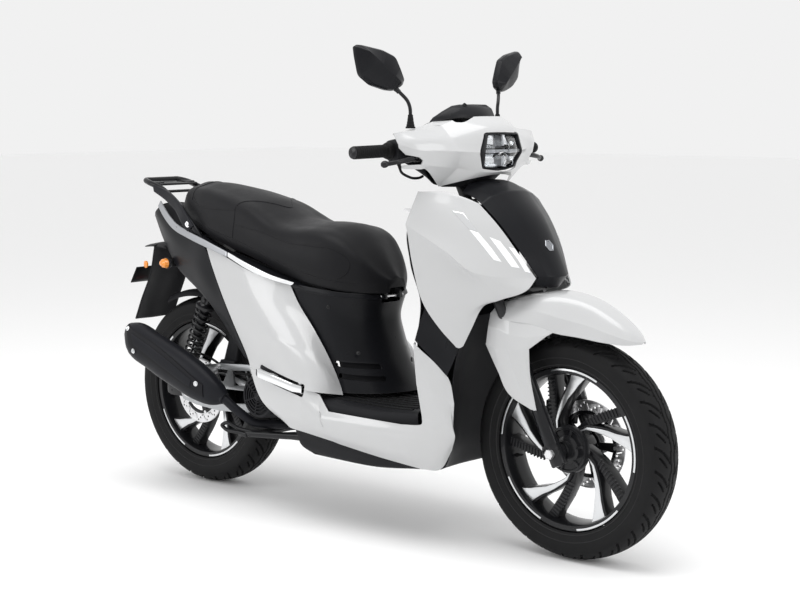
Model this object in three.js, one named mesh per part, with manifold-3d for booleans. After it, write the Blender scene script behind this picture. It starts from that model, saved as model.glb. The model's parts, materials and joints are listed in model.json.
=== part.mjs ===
// A moped scooter with large wheels, step-through floor and under-seat storage.
// Millimetres, +X forwards, +Y to the rider's left, +Z up. The shapes are laid out with x = 0 at the
// rear axle, and the whole group is then moved so that its origin lies on the ground, midway along.
import * as THREE from "three";
import { mergeVertices } from "three/addons/utils/BufferGeometryUtils.js";
import Module from "manifold-3d";

const wasm = await Module();
wasm.setup();

// ---------------------------------------------------------------- driving dimensions

// Chassis
const wheelbase = 1330;
const rake = THREE.MathUtils.degToRad(26.5);
const trail = 90;
const head_tube_low = 720; // height of the lower end of the head tube
const head_tube_high = 880;
const head_tube_radius = 27;
const steering_tube_radius = 15;
const frame_tube_radius = 14;
const rail_half_gap = 118; // frame rails, from the centre plane
const floor_rail_height = 262;

// Wheels and tyres
const tyre_radius = 281;
const tyre_width = 110;
const tyre_crown = 40; // flat middle of the tread
const tyre_sides = 48;
const rim_radius = 214;
const rim_width = 84;
const rim_depth = 17;
const hub_radius = 40;
const hub_width = 92;
const spoke_pairs = 5;
const axle_radius = 8;
const front_disc_radius = 113;
const rear_disc_radius = 98;
const disc_thickness = 4;
const front_disc_y = 52;
const rear_disc_y = -56;

// Fork and rear suspension
const fork_leg_half_gap = 88;
const fork_leg_radius = 19;
const stanchion_radius = 14;
const fork_leg_length = 250;
const fork_travel = 70;
const swing_pivot_x = 470;
const swing_pivot_z = 252;
const shock_half_gap = 113;
const shock_top_x = 99;
const shock_top_z = 566;
const shock_foot_x = -6;
const shock_foot_z = 321;
const shock_rod_radius = 6;
const shock_can_radius = 15;
const spring_radius = 26;

// Handlebar
const bar_height = 1017;
const bar_radius = 11;
const bar_half_length = 376;
const grip_radius = 16.5;
const grip_length = 118;
const cowl_half_width = 285;
const mirror_half_gap = 180; // the stems' feet

// Body
const apron_half_width = 248;
const nose_half_width = 66;
const skirt_half_width = 226;
const floor_half_width = 208;
const floor_height = 350;
const tail_end_x = -205;
const rack_end_x = -232;
const rack_half_width = 72;
const rack_height = 906;
const deck_height = 899;
const skin = 3; // wall of the moulded panels

// Clearances
const gap = 2; // between neighbouring panels
const touch = 0.4; // between pieces that are fastened face to face
const run = 0.5; // between a shaft and its bore

// ---------------------------------------------------------------- materials

const finish = (color, roughness, metalness = 0) => ({ color, roughness, metalness });
const white_gloss = finish(0xe6e7e6, 0.18);
const black_satin = finish(0x1d1e21, 0.42);
const black_matte = finish(0x18191b, 0.68);
const seat_vinyl = finish(0x232427, 0.72);
const rubber = finish(0x161617, 0.85);
const black_paint = finish(0x141518, 0.35);
const alloy = finish(0xb4b6b8, 0.38, 1);
const steel = finish(0x9c9ea1, 0.35, 1);
const chrome = finish(0xd7d9dc, 0.12, 1);
const lens_clear = finish(0xdfe4e8, 0.05);
const lens_red = finish(0x9c1014, 0.12);

// ---------------------------------------------------------------- geometry helpers

const vec = (x, y, z) => new THREE.Vector3(x, y, z);
const { sin, cos, tan, PI, min, max } = Math;

// A closed geometry as a solid that can be joined and cut.
function solid(geometry) {
  const source = geometry.index ? geometry.toNonIndexed() : geometry;
  const bare = new THREE.BufferGeometry();
  bare.setAttribute("position", source.getAttribute("position"));
  const merged = mergeVertices(bare, 1e-3);
  const index = merged.index.array;
  const faces = [];
  for (let i = 0; i < index.length; i += 3) {
    const [a, b, c] = [index[i], index[i + 1], index[i + 2]];
    if (a !== b && b !== c && c !== a) faces.push(a, b, c);
  }
  const mesh = { numProp: 3, vertProperties: merged.attributes.position.array };
  return new wasm.Manifold(new wasm.Mesh({ ...mesh, triVerts: new Uint32Array(faces) }));
}

function geometry(manifold) {
  const mesh = manifold.getMesh();
  const out = new THREE.BufferGeometry();
  out.setAttribute("position", new THREE.BufferAttribute(mesh.vertProperties, mesh.numProp));
  out.setIndex(new THREE.BufferAttribute(mesh.triVerts, 1));
  return out;
}

const join = (first, ...others) => others.reduce((all, one) => all.add(one), first);
const cut = (first, ...others) => others.reduce((all, one) => all.subtract(one), first);

// The solid reflected in the centre plane.
function mirrored(manifold) {
  const out = geometry(manifold);
  out.applyMatrix4(new THREE.Matrix4().makeScale(1, -1, 1));
  const faces = out.index.array;
  for (let i = 0; i < faces.length; i += 3) {
    [faces[i + 1], faces[i + 2]] = [faces[i + 2], faces[i + 1]];
  }
  return solid(out);
}

const both = (manifold) => join(manifold, mirrored(manifold));

// Turned about an axis through a point.
function turned(manifold, axis, angle, point = vec(0, 0, 0)) {
  const out = geometry(manifold).translate(-point.x, -point.y, -point.z);
  out.applyMatrix4(new THREE.Matrix4().makeRotationAxis(axis.clone().normalize(), angle));
  return solid(out.translate(point.x, point.y, point.z));
}

function block(low, high) {
  const size = high.clone().sub(low);
  const middle = high.clone().add(low).multiplyScalar(0.5);
  return solid(new THREE.BoxGeometry(size.x, size.y, size.z).translate(middle.x, middle.y, middle.z));
}

// A round bar or cone from a to b.
function rod(a, b, radius, sides = 14, end_radius = radius) {
  const along = b.clone().sub(a);
  const bar = new THREE.CylinderGeometry(end_radius, radius, along.length(), sides);
  bar.applyQuaternion(new THREE.Quaternion().setFromUnitVectors(vec(0, 1, 0), along.clone().normalize()));
  const middle = a.clone().add(b).multiplyScalar(0.5);
  return solid(bar.translate(middle.x, middle.y, middle.z));
}

function ball(centre, radius, sides = 12) {
  return solid(new THREE.SphereGeometry(radius, sides, sides / 2).translate(centre.x, centre.y, centre.z));
}

// A round tube along a smooth curve through the points.
function pipe(points, radius, sides = 10, steps = 4 * (points.length - 1)) {
  const circle = new THREE.Shape();
  for (let i = 0; i < sides; i++) {
    const angle = (2 * PI * i) / sides;
    const place = [radius * cos(angle), radius * sin(angle)];
    if (i) circle.lineTo(...place);
    else circle.moveTo(...place);
  }
  const path = new THREE.CatmullRomCurve3(points, false, "centripetal");
  return solid(new THREE.ExtrudeGeometry(circle, { steps, bevelEnabled: false, extrudePath: path }));
}

// A flat plate whose outline is drawn in the XZ plane, between two y values.
function plate(outline, y_low, y_high) {
  const shape = new THREE.Shape(outline.map(([x, z]) => new THREE.Vector2(x, z)));
  const slab = new THREE.ExtrudeGeometry(shape, { depth: y_high - y_low, bevelEnabled: false });
  return solid(slab.rotateX(PI / 2).translate(0, y_high, 0));
}

// A ring or disc turned about the Y axis; the profile holds [radius, y] pairs.
function turning(profile, sides, x, z, phase = 0) {
  const points = profile.map(([radius, y]) => new THREE.Vector2(radius, y));
  const lathe = new THREE.LatheGeometry(points, sides, phase);
  return solid(lathe.translate(x, 0, z));
}

// Closed surface from quads listed as corner indices, facing out.
function closed(points, faces) {
  const place = [];
  const put = (i) => place.push(points[i].x, points[i].y, points[i].z);
  for (const face of faces) {
    for (let i = 1; i + 1 < face.length; i++) {
      [face[0], face[i], face[i + 1]].forEach(put);
    }
  }
  let volume = 0;
  for (let i = 0; i < place.length; i += 9) {
    const [a, b, c] = [0, 3, 6].map((k) => vec(place[i + k], place[i + k + 1], place[i + k + 2]));
    volume += a.dot(b.cross(c));
  }
  if (volume < 0) {
    for (let i = 0; i < place.length; i += 9) {
      for (let k = 0; k < 3; k++) {
        [place[i + 3 + k], place[i + 6 + k]] = [place[i + 6 + k], place[i + 3 + k]];
      }
    }
  }
  const out = new THREE.BufferGeometry();
  return solid(out.setAttribute("position", new THREE.Float32BufferAttribute(place, 3)));
}

// A panel of even wall under a net of outer points. inward is a point on the hidden side.
function shell(rows, inward, wall = skin) {
  const [n, m] = [rows.length, rows[0].length];
  const at = (i, j) => rows[max(0, min(n - 1, i))][max(0, min(m - 1, j))];
  const points = [];
  for (let i = 0; i < n; i++) {
    for (let j = 0; j < m; j++) points.push(at(i, j));
  }
  for (let i = 0; i < n; i++) {
    for (let j = 0; j < m; j++) {
      const along = at(i + 1, j).clone().sub(at(i - 1, j));
      const across = at(i, j + 1).clone().sub(at(i, j - 1));
      const normal = along.cross(across).normalize();
      if (normal.dot(inward.clone().sub(at(i, j))) < 0) normal.negate();
      points.push(at(i, j).clone().addScaledVector(normal, wall));
    }
  }
  const outer = (i, j) => i * m + j;
  const inner = (i, j) => n * m + i * m + j;
  const faces = [];
  for (let i = 0; i + 1 < n; i++) {
    for (let j = 0; j + 1 < m; j++) {
      faces.push([outer(i, j), outer(i + 1, j), outer(i + 1, j + 1), outer(i, j + 1)]);
      faces.push([inner(i, j), inner(i, j + 1), inner(i + 1, j + 1), inner(i + 1, j)]);
    }
  }
  for (let j = 0; j + 1 < m; j++) {
    faces.push([outer(0, j), outer(0, j + 1), inner(0, j + 1), inner(0, j)]);
    faces.push([outer(n - 1, j + 1), outer(n - 1, j), inner(n - 1, j), inner(n - 1, j + 1)]);
  }
  for (let i = 0; i + 1 < n; i++) {
    faces.push([outer(i + 1, 0), outer(i, 0), inner(i, 0), inner(i + 1, 0)]);
    faces.push([outer(i, m - 1), outer(i + 1, m - 1), inner(i + 1, m - 1), inner(i, m - 1)]);
  }
  return closed(points, faces);
}

// A net's rows given from the right edge to the centre, carried on to the left edge.
const full_width = (rows) =>
  rows.map((row) => [
    ...row.map(([x, y, z]) => vec(x, y, z)),
    ...row.slice(0, -1).reverse().map(([x, y, z]) => vec(x, -y, z)),
  ]);

const net = (rows) => rows.map((row) => row.map(([x, y, z]) => vec(x, y, z)));

// A body through closed rings with the same number of points, with flat ends.
function loft(rings) {
  const [n, m] = [rings.length, rings[0].length];
  const points = rings.flat();
  const faces = [];
  for (let i = 0; i + 1 < n; i++) {
    for (let j = 0; j < m; j++) {
      const k = (j + 1) % m;
      faces.push([i * m + j, i * m + k, (i + 1) * m + k, (i + 1) * m + j]);
    }
  }
  const end = (ring, base, flip) => {
    const middle = ring.reduce((sum, p) => sum.add(p), vec(0, 0, 0)).divideScalar(m);
    points.push(middle);
    for (let j = 0; j < m; j++) {
      const k = (j + 1) % m;
      faces.push(flip ? [points.length - 1, base + k, base + j] : [points.length - 1, base + j, base + k]);
    }
  };
  end(rings[0], 0, true);
  end(rings[n - 1], (n - 1) * m, false);
  return closed(points, faces);
}

// ---------------------------------------------------------------- places worked out from the dimensions

const axle_height = tyre_radius;
const up_fork = vec(-sin(rake), 0, cos(rake));
const ahead = vec(cos(rake), 0, sin(rake));
const front_axle = vec(wheelbase, 0, axle_height);
const rear_axle = vec(0, 0, axle_height);
// The point of the steering axis at a height.
const on_axis = (z) => vec(wheelbase + trail - z * tan(rake), 0, z);
// A point of the fork leg's centre line, measured up from the axle.
const on_leg = (up, y = 0) => front_axle.clone().addScaledVector(up_fork, up).add(vec(0, y, 0));
const grip_x = on_axis(bar_height).x + 4;
const fork_bore_foot = 100;
const stanchion_foot = fork_bore_foot + fork_travel + 6;
const stand_pivot = vec(500, 0, 216);
const peg_pivot = vec(572, -206, 372);
const peg_slope = 0.163;
const grip_sweep = 0.123;
const lever_pivot = vec(984, -214, 1004);
const lever_pin_radius = 3.5;

// ---------------------------------------------------------------- frame

function main_frame() {
  const head = rod(on_axis(head_tube_low), on_axis(head_tube_high), head_tube_radius, 20);
  const spine = pipe(
    [
      on_axis(780), vec(on_axis(780).x - 40, 0, 640), vec(983, 0, 500), vec(966, 0, 400),
      vec(960, 0, 330), vec(930, 0, floor_rail_height),
    ],
    14, 10, 16,
  );
  const rail = pipe(
    [
      vec(930, -40, floor_rail_height),
      vec(880, -rail_half_gap, floor_rail_height),
      vec(600, -rail_half_gap, floor_rail_height),
      vec(500, -rail_half_gap, floor_rail_height + 20),
      vec(420, -rail_half_gap - 12, 450),
      vec(300, -rail_half_gap - 12, 580),
      vec(210, -rail_half_gap - 10, 626),
      vec(120, -88, 664),
      vec(-60, -47, 747),
      vec(-118, -40, 772),
    ],
    frame_tube_radius, 8, 20,
  );
  const tie = (x, z, half, radius = 11) => rod(vec(x, -half, z), vec(x, half, z), radius, 10);
  const shock_tab = plate(
    [[shock_top_x - 18, shock_top_z - 8], [shock_top_x + 20, shock_top_z - 8], [150, 664], [96, 684]],
    -shock_half_gap + 22, -shock_half_gap + 28,
  );
  const shock_pin = rod(
    vec(shock_top_x, -shock_half_gap + 24, shock_top_z),
      vec(shock_top_x, -shock_half_gap - 15, shock_top_z), 6, 10,
  );
  const hanger = plate(
    [
      [swing_pivot_x - 18, swing_pivot_z - 12], [stand_pivot.x - 14, stand_pivot.z - 14],
      [stand_pivot.x + 14, stand_pivot.z - 14], [528, 262], [506, 306], [478, 316],
    ],
    -rail_half_gap + 6, -rail_half_gap + 14,
  );
  const stand_way = tie(stand_pivot.x, stand_pivot.z, rail_half_gap + 20, 9 + run);
  const pivot_pin = tie(swing_pivot_x, swing_pivot_z, rail_half_gap - 8, 9);
  const neck_joint = rod(vec(940, -52, floor_rail_height), vec(940, 52, floor_rail_height), 15, 10);
  const outrigger = pipe([vec(566, -rail_half_gap, 266), vec(574, -150, 300), vec(572, -190, 358)], 8, 8,
    6);
  const peg_ear = turned(
    join(
      block(vec(560, -214, peg_pivot.z - 17), vec(584, -182, peg_pivot.z - 13)),
      rod(peg_pivot.clone().add(vec(0, 0, -16)), peg_pivot.clone().add(vec(0, 0, 9)), 4, 12),
    ),
    vec(0, 1, 0), peg_slope, peg_pivot,
  );
  const hollow = rod(on_axis(head_tube_low - 30), on_axis(head_tube_high + 30),
    steering_tube_radius + run, 20);
  const body = join(
    head, spine, both(rail), both(shock_tab), both(shock_pin), both(hanger), pivot_pin, neck_joint,
    both(outrigger), both(peg_ear), tie(530, floor_rail_height + 6, rail_half_gap), tie(196, 630, 122),
      tie(-60, 747, 48),
  );
  return cut(body, hollow, stand_way);
}

// ---------------------------------------------------------------- front body

// Right edge of the nose panel, top to bottom; the apron's front edge follows it.
const nose_edge = [
  [1062, -134, 912],
  [1121, -124, 889],
  [1172, -110, 836],
  [1218, -92, 772],
  [1257, -nose_half_width - gap, 708],
];

function nose_panel() {
  const [, top, high, low, foot] = nose_edge.map(([x, y, z]) => [x - 1, y + gap + 1, z + 1]);
  return shell(
    full_width([
      [[1052, -112, 914], [1042, -78, 931], [1036, -42, 941], [1036, 0, 943]],
      [[1090, -114, 904], [1084, -82, 924], [1080, -46, 938], [1080, 0, 941]],
      [top, [1124, -88, 906], [1132, -48, 914], [1136, 0, 917]],
      [high, [1186, -70, 842], [1196, -38, 848], [1200, 0, 850]],
      [low, [1232, -56, 776], [1240, -30, 780], [1243, 0, 781]],
      [foot, [1270, -44, 710], [1278, -24, 708], [1281, 0, 708]],
      [[1240, -58, 690], [1252, -40, 684], [1258, -22, 680], [1260, 0, 679]],
    ]),
    vec(1060, 0, 720),
  );
}

function apron() {
  const wide = apron_half_width;
  return shell(
    net([
      [[985, -206, 918], [1036, -162, 917], [1085, -142, 903], [1117, -127, 889]],
      [[982, -226, 880], [1044, -192, 868], [1112, -158, 838], [1169, -113, 834]],
      [[979, -wide + 5, 846], [1058, -206, 806], [1142, -158, 770], [1215, -95, 770]],
      [[980, -wide, 836], [1072, -205, 776], [1150, -164, 716], [1253, -70, 706]],
      [[985, -wide, 820], [1080, -200, 750], [1165, -152, 690], [1246, -92, 681]],
      [[995, -240, 740], [1072, -200, 690], [1138, -156, 656], [1184, -124, 652]],
      [[1018, -225, 640], [1062, -196, 618], [1102, -162, 604], [1132, -132, 628]],
      [[1052, -200, 576], [1072, -186, 568], [1096, -166, 562], [1112, -146, 578]],
      [[1086, -176, 530], [1090, -172, 528], [1094, -168, 529], [1098, -163, 533]],
    ]),
    vec(1050, 0, 740),
  );
}

function leg_shield() {
  const panel = shell(
    full_width([
      [[968, -190, 912], [935, -150, 905], [888, -92, 880], [860, 0, 868]],
      [[968, -232, 838], [930, -180, 835], [872, -95, 830], [850, 0, 826]],
      [[978, -236, 740], [938, -180, 740], [884, -90, 735], [866, 0, 730]],
      [[1000, -222, 640], [962, -165, 640], [915, -80, 636], [900, 0, 630]],
      [[984, -214, 545], [955, -150, 545], [930, -75, 545], [920, 0, 545]],
      [[984, -206, 440], [962, -140, 440], [942, -70, 440], [934, 0, 440]],
      [[990, -198, 372], [970, -130, 372], [948, -65, 372], [938, 0, 372]],
    ]),
    vec(1200, 0, 700),
  );
  const lock_way = rod(key_face.clone().addScaledVector(key_axis, -20),
    key_face.clone().addScaledVector(key_axis, 60), 12, 16);
  return cut(panel, lock_way);
}

function belly_pan() {
  return shell(
    full_width([
      [[1100, -140, 628], [1040, -80, 636], [1022, 0, 640]],
      [[1099, -139, 596], [1040, -82, 600], [1020, 0, 602]],
      [[1074, -142, 540], [1036, -82, 520], [1016, 0, 510]],
      [[1056, -150, 440], [1022, -80, 430], [1006, 0, 424]],
      [[1056, -158, 330], [1012, -80, 320], [996, 0, 316]],
      [[1046, -150, 250], [1006, -80, 240], [992, 0, 236]],
      [[1014, -134, 204], [985, -80, 196], [975, 0, 194]],
      [[900, -136, 204], [890, -80, 194], [886, 0, 192]],
      [[700, -140, 215], [700, -80, 206], [700, 0, 204]],
      [[585, -142, 232], [585, -80, 224], [585, 0, 222]],
    ]),
    vec(930, 0, 460),
  );
}

function floor_board() {
  const edge = floor_half_width;
  const high = floor_height;
  return shell(
    full_width([
      [[600, -edge, high - 30], [598, -edge + 4, high - 8], [602, -150, high + 4], [640, -90, high + 8],
        [660, 0, high + 8]],
      [[720, -edge, high - 30], [720, -edge + 4, high - 12], [720, -150, high], [720, -90, high + 2],
        [720, 0, high + 3]],
      [[860, -edge, high - 31], [860, -edge + 4, high - 14], [860, -150, high - 2], [860, -90, high],
        [860, 0, high]],
      [[978, -edge + 14, high - 32], [972, -edge + 18, high - 10], [950, -140, high + 2],
        [940, -80, high + 4], [936, 0, high + 4]],
    ]),
    vec(800, 0, 100),
  );
}

// ---------------------------------------------------------------- side and rear body

// Right edge where the side skirt meets the tail cover, top to bottom.
const skirt_rear_edge = [
  [126, -138, 727],
  [152, -146, 686],
  [209, -156, 595],
  [258, -164, 527],
  [334, -172, 416],
];

function side_skirt() {
  const wide = skirt_half_width;
  const [top, high, middle, low, foot] = skirt_rear_edge;
  const back = shell(
    net([
      [top, [232, -156, 702], [338, -168, 672], [425, -164, 656], [478, -152, 645]],
      [high, [268, -164, 655], [360, -178, 632], [455, -172, 612], [505, -152, 602]],
      [middle, [312, -176, 576], [426, -194, 565], [535, -182, 540], [572, -152, 524]],
      [low, [356, -184, 510], [482, -206, 508], [590, -190, 480], [622, -150, 456]],
      [foot, [440, -200, 430], [560, -216, 446], [650, -192, 404], [668, -148, 372]],
      [[352, -184, 396], [450, -206, 380], [588, -222, 372], [650, -200, 366], [676, -152, 358]],
    ]),
    vec(400, 0, 500),
  );
  const beam = shell(
    net([
      [[350, -184, 402], [384, -190, 340], [430, -196, 300], [508, -196, 262]],
      [[449, -206, 386], [466, -210, 330], [490, -212, 294], [528, -206, 258]],
      [[590, -221, 380], [590, -wide, 330], [590, -222, 280], [586, -204, 251]],
      [[640, -206, 362], [656, -222, 318], [668, -222, 270], [680, -196, 238]],
      [[680, -214, 322], [660, -wide, 300], [680, -218, 262], [700, -190, 232]],
      [[800, -218, 322], [810, -wide, 296], [820, -214, 252], [830, -184, 216]],
      [[940, -217, 321], [950, -220, 290], [962, -206, 244], [976, -176, 202]],
      [[1006, -216, 330], [1036, -206, 308], [1046, -186, 256], [1030, -160, 212]],
      [[1004, -212, 348], [1058, -194, 336], [1082, -176, 308], [1062, -162, 262]],
      [[986, -212, 430], [1024, -204, 416], [1060, -184, 400], [1078, -174, 386]],
      [[988, -222, 486], [1012, -212, 472], [1044, -190, 452], [1066, -172, 432]],
      [[996, -236, 538], [1012, -222, 518], [1034, -200, 490], [1058, -174, 450]],
    ]),
    vec(780, 0, 320),
  );
  const peg_slot = turned(
    block(peg_pivot.clone().add(vec(-176, -60, -18)), peg_pivot.clone().add(vec(25, 46, 18))),
    vec(0, 1, 0), peg_slope, peg_pivot,
  );
  return cut(join(back, beam), peg_slot);
}

function tail_cover() {
  const [top, high, middle, low, foot] = skirt_rear_edge.map(([x, y, z]) => [x - gap - 1, y, z]);
  const side = shell(
    net([
      [[-165, -52, 836], [-190, -54, 815], [tail_end_x, -46, 798]],
      [[-64, -92, 775], [-92, -90, 756], [-135, -70, 722]],
      [[40, -118, 750], [15, -116, 706], [-45, -96, 649]],
      [[top[0] - 4, -138, 724], [100, -140, 664], [66, -126, 602]],
      [middle, [190, -152, 572], [150, -142, 556]],
      [low, [238, -160, 516], [212, -150, 506]],
      [[foot[0] - 3, foot[1] + 1, foot[2] + 6], [316, -168, 424], [304, -164, 428]],
    ]),
    vec(100, 0, 600),
  );
  const back = shell(
    full_width([
      [[-162, -54, 835], [-168, -30, 838], [-170, 0, 839]],
      [[-188, -54, 816], [-196, -30, 818], [-198, 0, 818]],
      [[tail_end_x + 2, -47, 798], [tail_end_x - 6, -28, 796], [tail_end_x - 8, 0, 796]],
    ]),
    vec(-80, 0, 780),
  );
  return join(side, mirrored(side), back);
}

function tail_light() {
  return loft(
    net([
      [[-200, -42, 792], [-214, 0, 790], [-200, 42, 792], [-176, 46, 748], [-178, 0, 744],
        [-176, -46, 748]],
      [[-150, -40, 796], [-150, 0, 797], [-150, 40, 796], [-132, 44, 752], [-132, 0, 750],
        [-132, -44, 752]],
    ]),
  );
}

// Height of the seat's lower rim along the scooter.
const rim_points = [[-60, 800], [47, 786], [170, 748], [300, 719], [516, 662], [640, 640], [760, 632]];
function seat_rim(x) {
  const i = max(1, rim_points.findIndex(([at]) => at >= x));
  const [[x0, z0], [x1, z1]] = [rim_points[i - 1], rim_points[i]];
  return z0 + ((z1 - z0) * (x - x0)) / (x1 - x0);
}

// [x, half width, crown height, centre height]
const seat_sections = [
  [-60, 60, 846, 858],
  [-30, 80, 886, 900],
  [40, 106, 896, 909],
  [130, 128, 888, 899],
  [230, 140, 868, 879],
  [330, 148, 852, 866],
  [400, 152, 820, 838],
  [460, 154, 792, 813],
  [530, 153, 784, 805],
  [600, 148, 786, 807],
  [670, 136, 768, 790],
  [718, 108, 730, 752],
  [744, 62, 690, 706],
];

function seat_cushion() {
  const rings = seat_sections.map(([x, half, crown, centre]) => {
    const low = seat_rim(x) + 8;
    const rise = crown - low;
    const right = [
      [0, low], [-0.8 * half, low], [-half, low + 0.18 * rise], [-0.97 * half, low + 0.55 * rise],
      [-0.84 * half, low + 0.88 * rise], [-0.5 * half, low + rise], [0, centre],
    ];
    const left = right.slice(1, -1).reverse().map(([y, z]) => [-y, z]);
    return [...right, ...left].map(([y, z]) => vec(x, y, z));
  });
  return loft(rings);
}

function seat_half(x) {
  const i = max(1, seat_sections.findIndex(([at]) => at >= x));
  const [[x0, half0], [x1, half1]] = [seat_sections[i - 1], seat_sections[i]];
  return half0 + ((half1 - half0) * (x - x0)) / (x1 - x0);
}

const seat_hinge = vec(713, 0, 617);
const hinge_pin_radius = 4;

function seat_base() {
  const rows = seat_sections.slice(1, -1).map(([x]) => {
    const half = 0.78 * seat_half(x);
    const z = seat_rim(x) + 7.5;
    return [vec(x, -half, z), vec(x, -half / 2, z), vec(x, half / 2, z), vec(x, half, z)];
  });
  const pan = shell(rows, vec(300, 0, 0), 4);
  const lug = both(plate([[692, 642], [724, 640], [724, 611], [704, 608]], -34, -24));
  const pin_way = rod(seat_hinge.clone().add(vec(0, -40, 0)), seat_hinge.clone().add(vec(0, 40, 0)),
    hinge_pin_radius + run, 12);
  return cut(join(pan, lug), pin_way);
}

function seat_pedestal() {
  const body = shell(
    full_width([
      [[486, -146, 634], [600, -140, 626], [672, -112, 624], [712, -60, 618], [722, 0, 616]],
      [[520, -146, 576], [618, -136, 560], [668, -96, 556], [700, -48, 554], [706, 0, 554]],
      [[560, -146, 510], [640, -136, 500], [682, -96, 494], [712, -50, 490], [722, 0, 488]],
      [[598, -146, 450], [664, -136, 444], [706, -96, 440], [738, -50, 436], [748, 0, 434]],
      [[640, -146, 386], [690, -142, 384], [738, -108, 382], [770, -56, 380], [784, 0, 378]],
      [[656, -146, 364], [700, -144, 364], [750, -110, 364], [784, -56, 364], [796, 0, 364]],
    ]),
    vec(500, 0, 500),
  );
  const notch = block(vec(680, -39, 598), vec(740, 39, 640));
  const ear = plate([[684, 584], [706, 584], [722, 606], [722, 625], [704, 625]], -47, -41);
  const pin = rod(seat_hinge.clone().add(vec(0, -44, 0)), seat_hinge.clone().add(vec(0, 44, 0)),
    hinge_pin_radius, 12);
  return join(cut(body, notch), both(ear), pin);
}

function helmet_box() {
  const outline = [[214, 716], [628, 622], [628, 480], [360, 480], [214, 622]];
  const inside = [[218, 760], [624, 660], [624, 484], [362, 484], [218, 624]];
  return cut(plate(outline, -111, 111), plate(inside, -107, 107));
}

function grab_rail() {
  const half = rack_half_width;
  const side = pipe(
    [
      vec(100, -86, 702), vec(84, -112, 742), vec(47, -125, 792), vec(-37, -101, 843), vec(-90, -86, 866),
      vec(-142, -half - 4, 886),
      vec(rack_end_x + 34, -half - 2, rack_height - 5), vec(rack_end_x + 9, -half + 10, rack_height),
      vec(rack_end_x + 8, -half + 32, rack_height),
    ],
    8.5, 8, 14,
  );
  const back = rod(
    vec(rack_end_x + 8.5, -half + 26, rack_height), vec(rack_end_x + 8.5, half - 26, rack_height), 8.5, 8,
  );
  const deck = block(vec(rack_end_x + 64, -half, deck_height - 7), vec(rack_end_x + 92, half, deck_height));
  const bar = block(vec(rack_end_x + 36, -half, deck_height - 7), vec(rack_end_x + 46, half, deck_height));
  return join(side, mirrored(side), back, deck, bar);
}

function rear_mudguard() {
  const hood = shell(
    full_width([
      [[-128, -70, 704], [-132, -40, 712], [-134, 0, 714]],
      [[-180, -72, 708], [-184, -40, 716], [-186, 0, 718]],
      [[-236, -62, 704], [-242, -34, 708], [-244, 0, 709]],
    ]),
    vec(-150, 0, 500),
  );
  const flap = shell(
    full_width([
      [[-176, -76, 712], [-190, -40, 714], [-192, 0, 714]],
      [[-200, -76, 620], [-212, -40, 622], [-214, 0, 622]],
      [[-238, -78, 545], [-250, -40, 545], [-252, 0, 545]],
      [[-270, -78, 478], [-280, -40, 476], [-282, 0, 475]],
    ]),
    vec(-100, 0, 600), 4,
  );
  const bracket = both(
    loft(
      net([
        [[-60, -56, 730], [-60, -38, 730], [-60, -38, 716], [-60, -56, 716]],
        [[-150, -60, 716], [-150, -40, 716], [-150, -40, 702], [-150, -60, 702]],
      ]),
    ),
  );
  return join(hood, flap, bracket);
}

function fuel_tank() {
  const outline = [[566, 240], [858, 238], [868, 250], [868, 312], [850, 324], [590, 324], [560, 306]];
  return plate(outline, -rail_half_gap + frame_tube_radius + 5, rail_half_gap - frame_tube_radius - 5);
}

const key_axis = vec(-0.976, 0, 0.217);
const key_face = vec(872, -70, 852);

function ignition_key() {
  const barrel = rod(key_face.clone().addScaledVector(key_axis, -6),
    key_face.clone().addScaledVector(key_axis, 20), 11, 16);
  const bow = turned(
    block(key_face.clone().add(vec(-42, -11, -2)), key_face.clone().add(vec(-18, 11, 2))), vec(0, 1, 0),
      0.219, key_face,
  );
  return join(barrel, bow);
}

// ---------------------------------------------------------------- steering

function steering_stem() {
  const tube = rod(on_axis(head_tube_low - 22), on_axis(bar_height - 26), steering_tube_radius, 20);
  const yoke_point = (y, up) => on_leg(430 + up, y);
  const yoke = rod(yoke_point(-fork_leg_half_gap, 0), yoke_point(fork_leg_half_gap, 0), 21, 12);
  const bridge = rod(on_axis(head_tube_low - 26).add(vec(4, 0, 0)), on_leg(432), 20, 12);
  const stanchion = rod(
    on_leg(stanchion_foot, -fork_leg_half_gap), on_leg(448, -fork_leg_half_gap), stanchion_radius, 14,
  );
  return join(tube, yoke, bridge, both(stanchion));
}

// A point on the axis of the right grip, at that y.
const on_grip = (y) => vec(grip_x + 14 + grip_sweep * (y + 260), y, bar_height + 2 + 0.026 * (y + 260));
const grip_inner_y = -253;

function handlebar() {
  const bend_y = -206;
  const left = (p) => vec(p.x, -p.y, p.z);
  const right_half = [on_grip(bend_y), vec(grip_x + 34, -150, bar_height + 6),
    vec(grip_x + 40, -60, bar_height + 2)];
  const middle = pipe([...right_half, ...right_half.map(left).reverse()], bar_radius, 10, 20);
  const end = rod(on_grip(2 - bar_half_length), on_grip(bend_y - 0.01).add(vec(1, 6, 0)), bar_radius, 16);
  const clamp_low = on_axis(bar_height - 22);
  const clamp = rod(clamp_low.clone().addScaledVector(up_fork, -12),
    clamp_low.clone().addScaledVector(up_fork, 14), 24, 14);
  const arm = rod(clamp_low, vec(grip_x + 40, 0, bar_height + 2), 15, 10);
  const shaft = rod(on_axis(bar_height - 60), on_axis(bar_height - 26 + touch + 0.2),
    steering_tube_radius + touch, 20);
  return cut(join(middle, both(end), clamp, arm), shaft);
}

// Outline of the headlight, right half, top centre to bottom centre.
const lamp_outline = [[1103, 0, 1064], [1092, -56, 1061], [1090, -74, 1012], [1096, -50, 972],
  [1102, 0, 968]];

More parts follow.
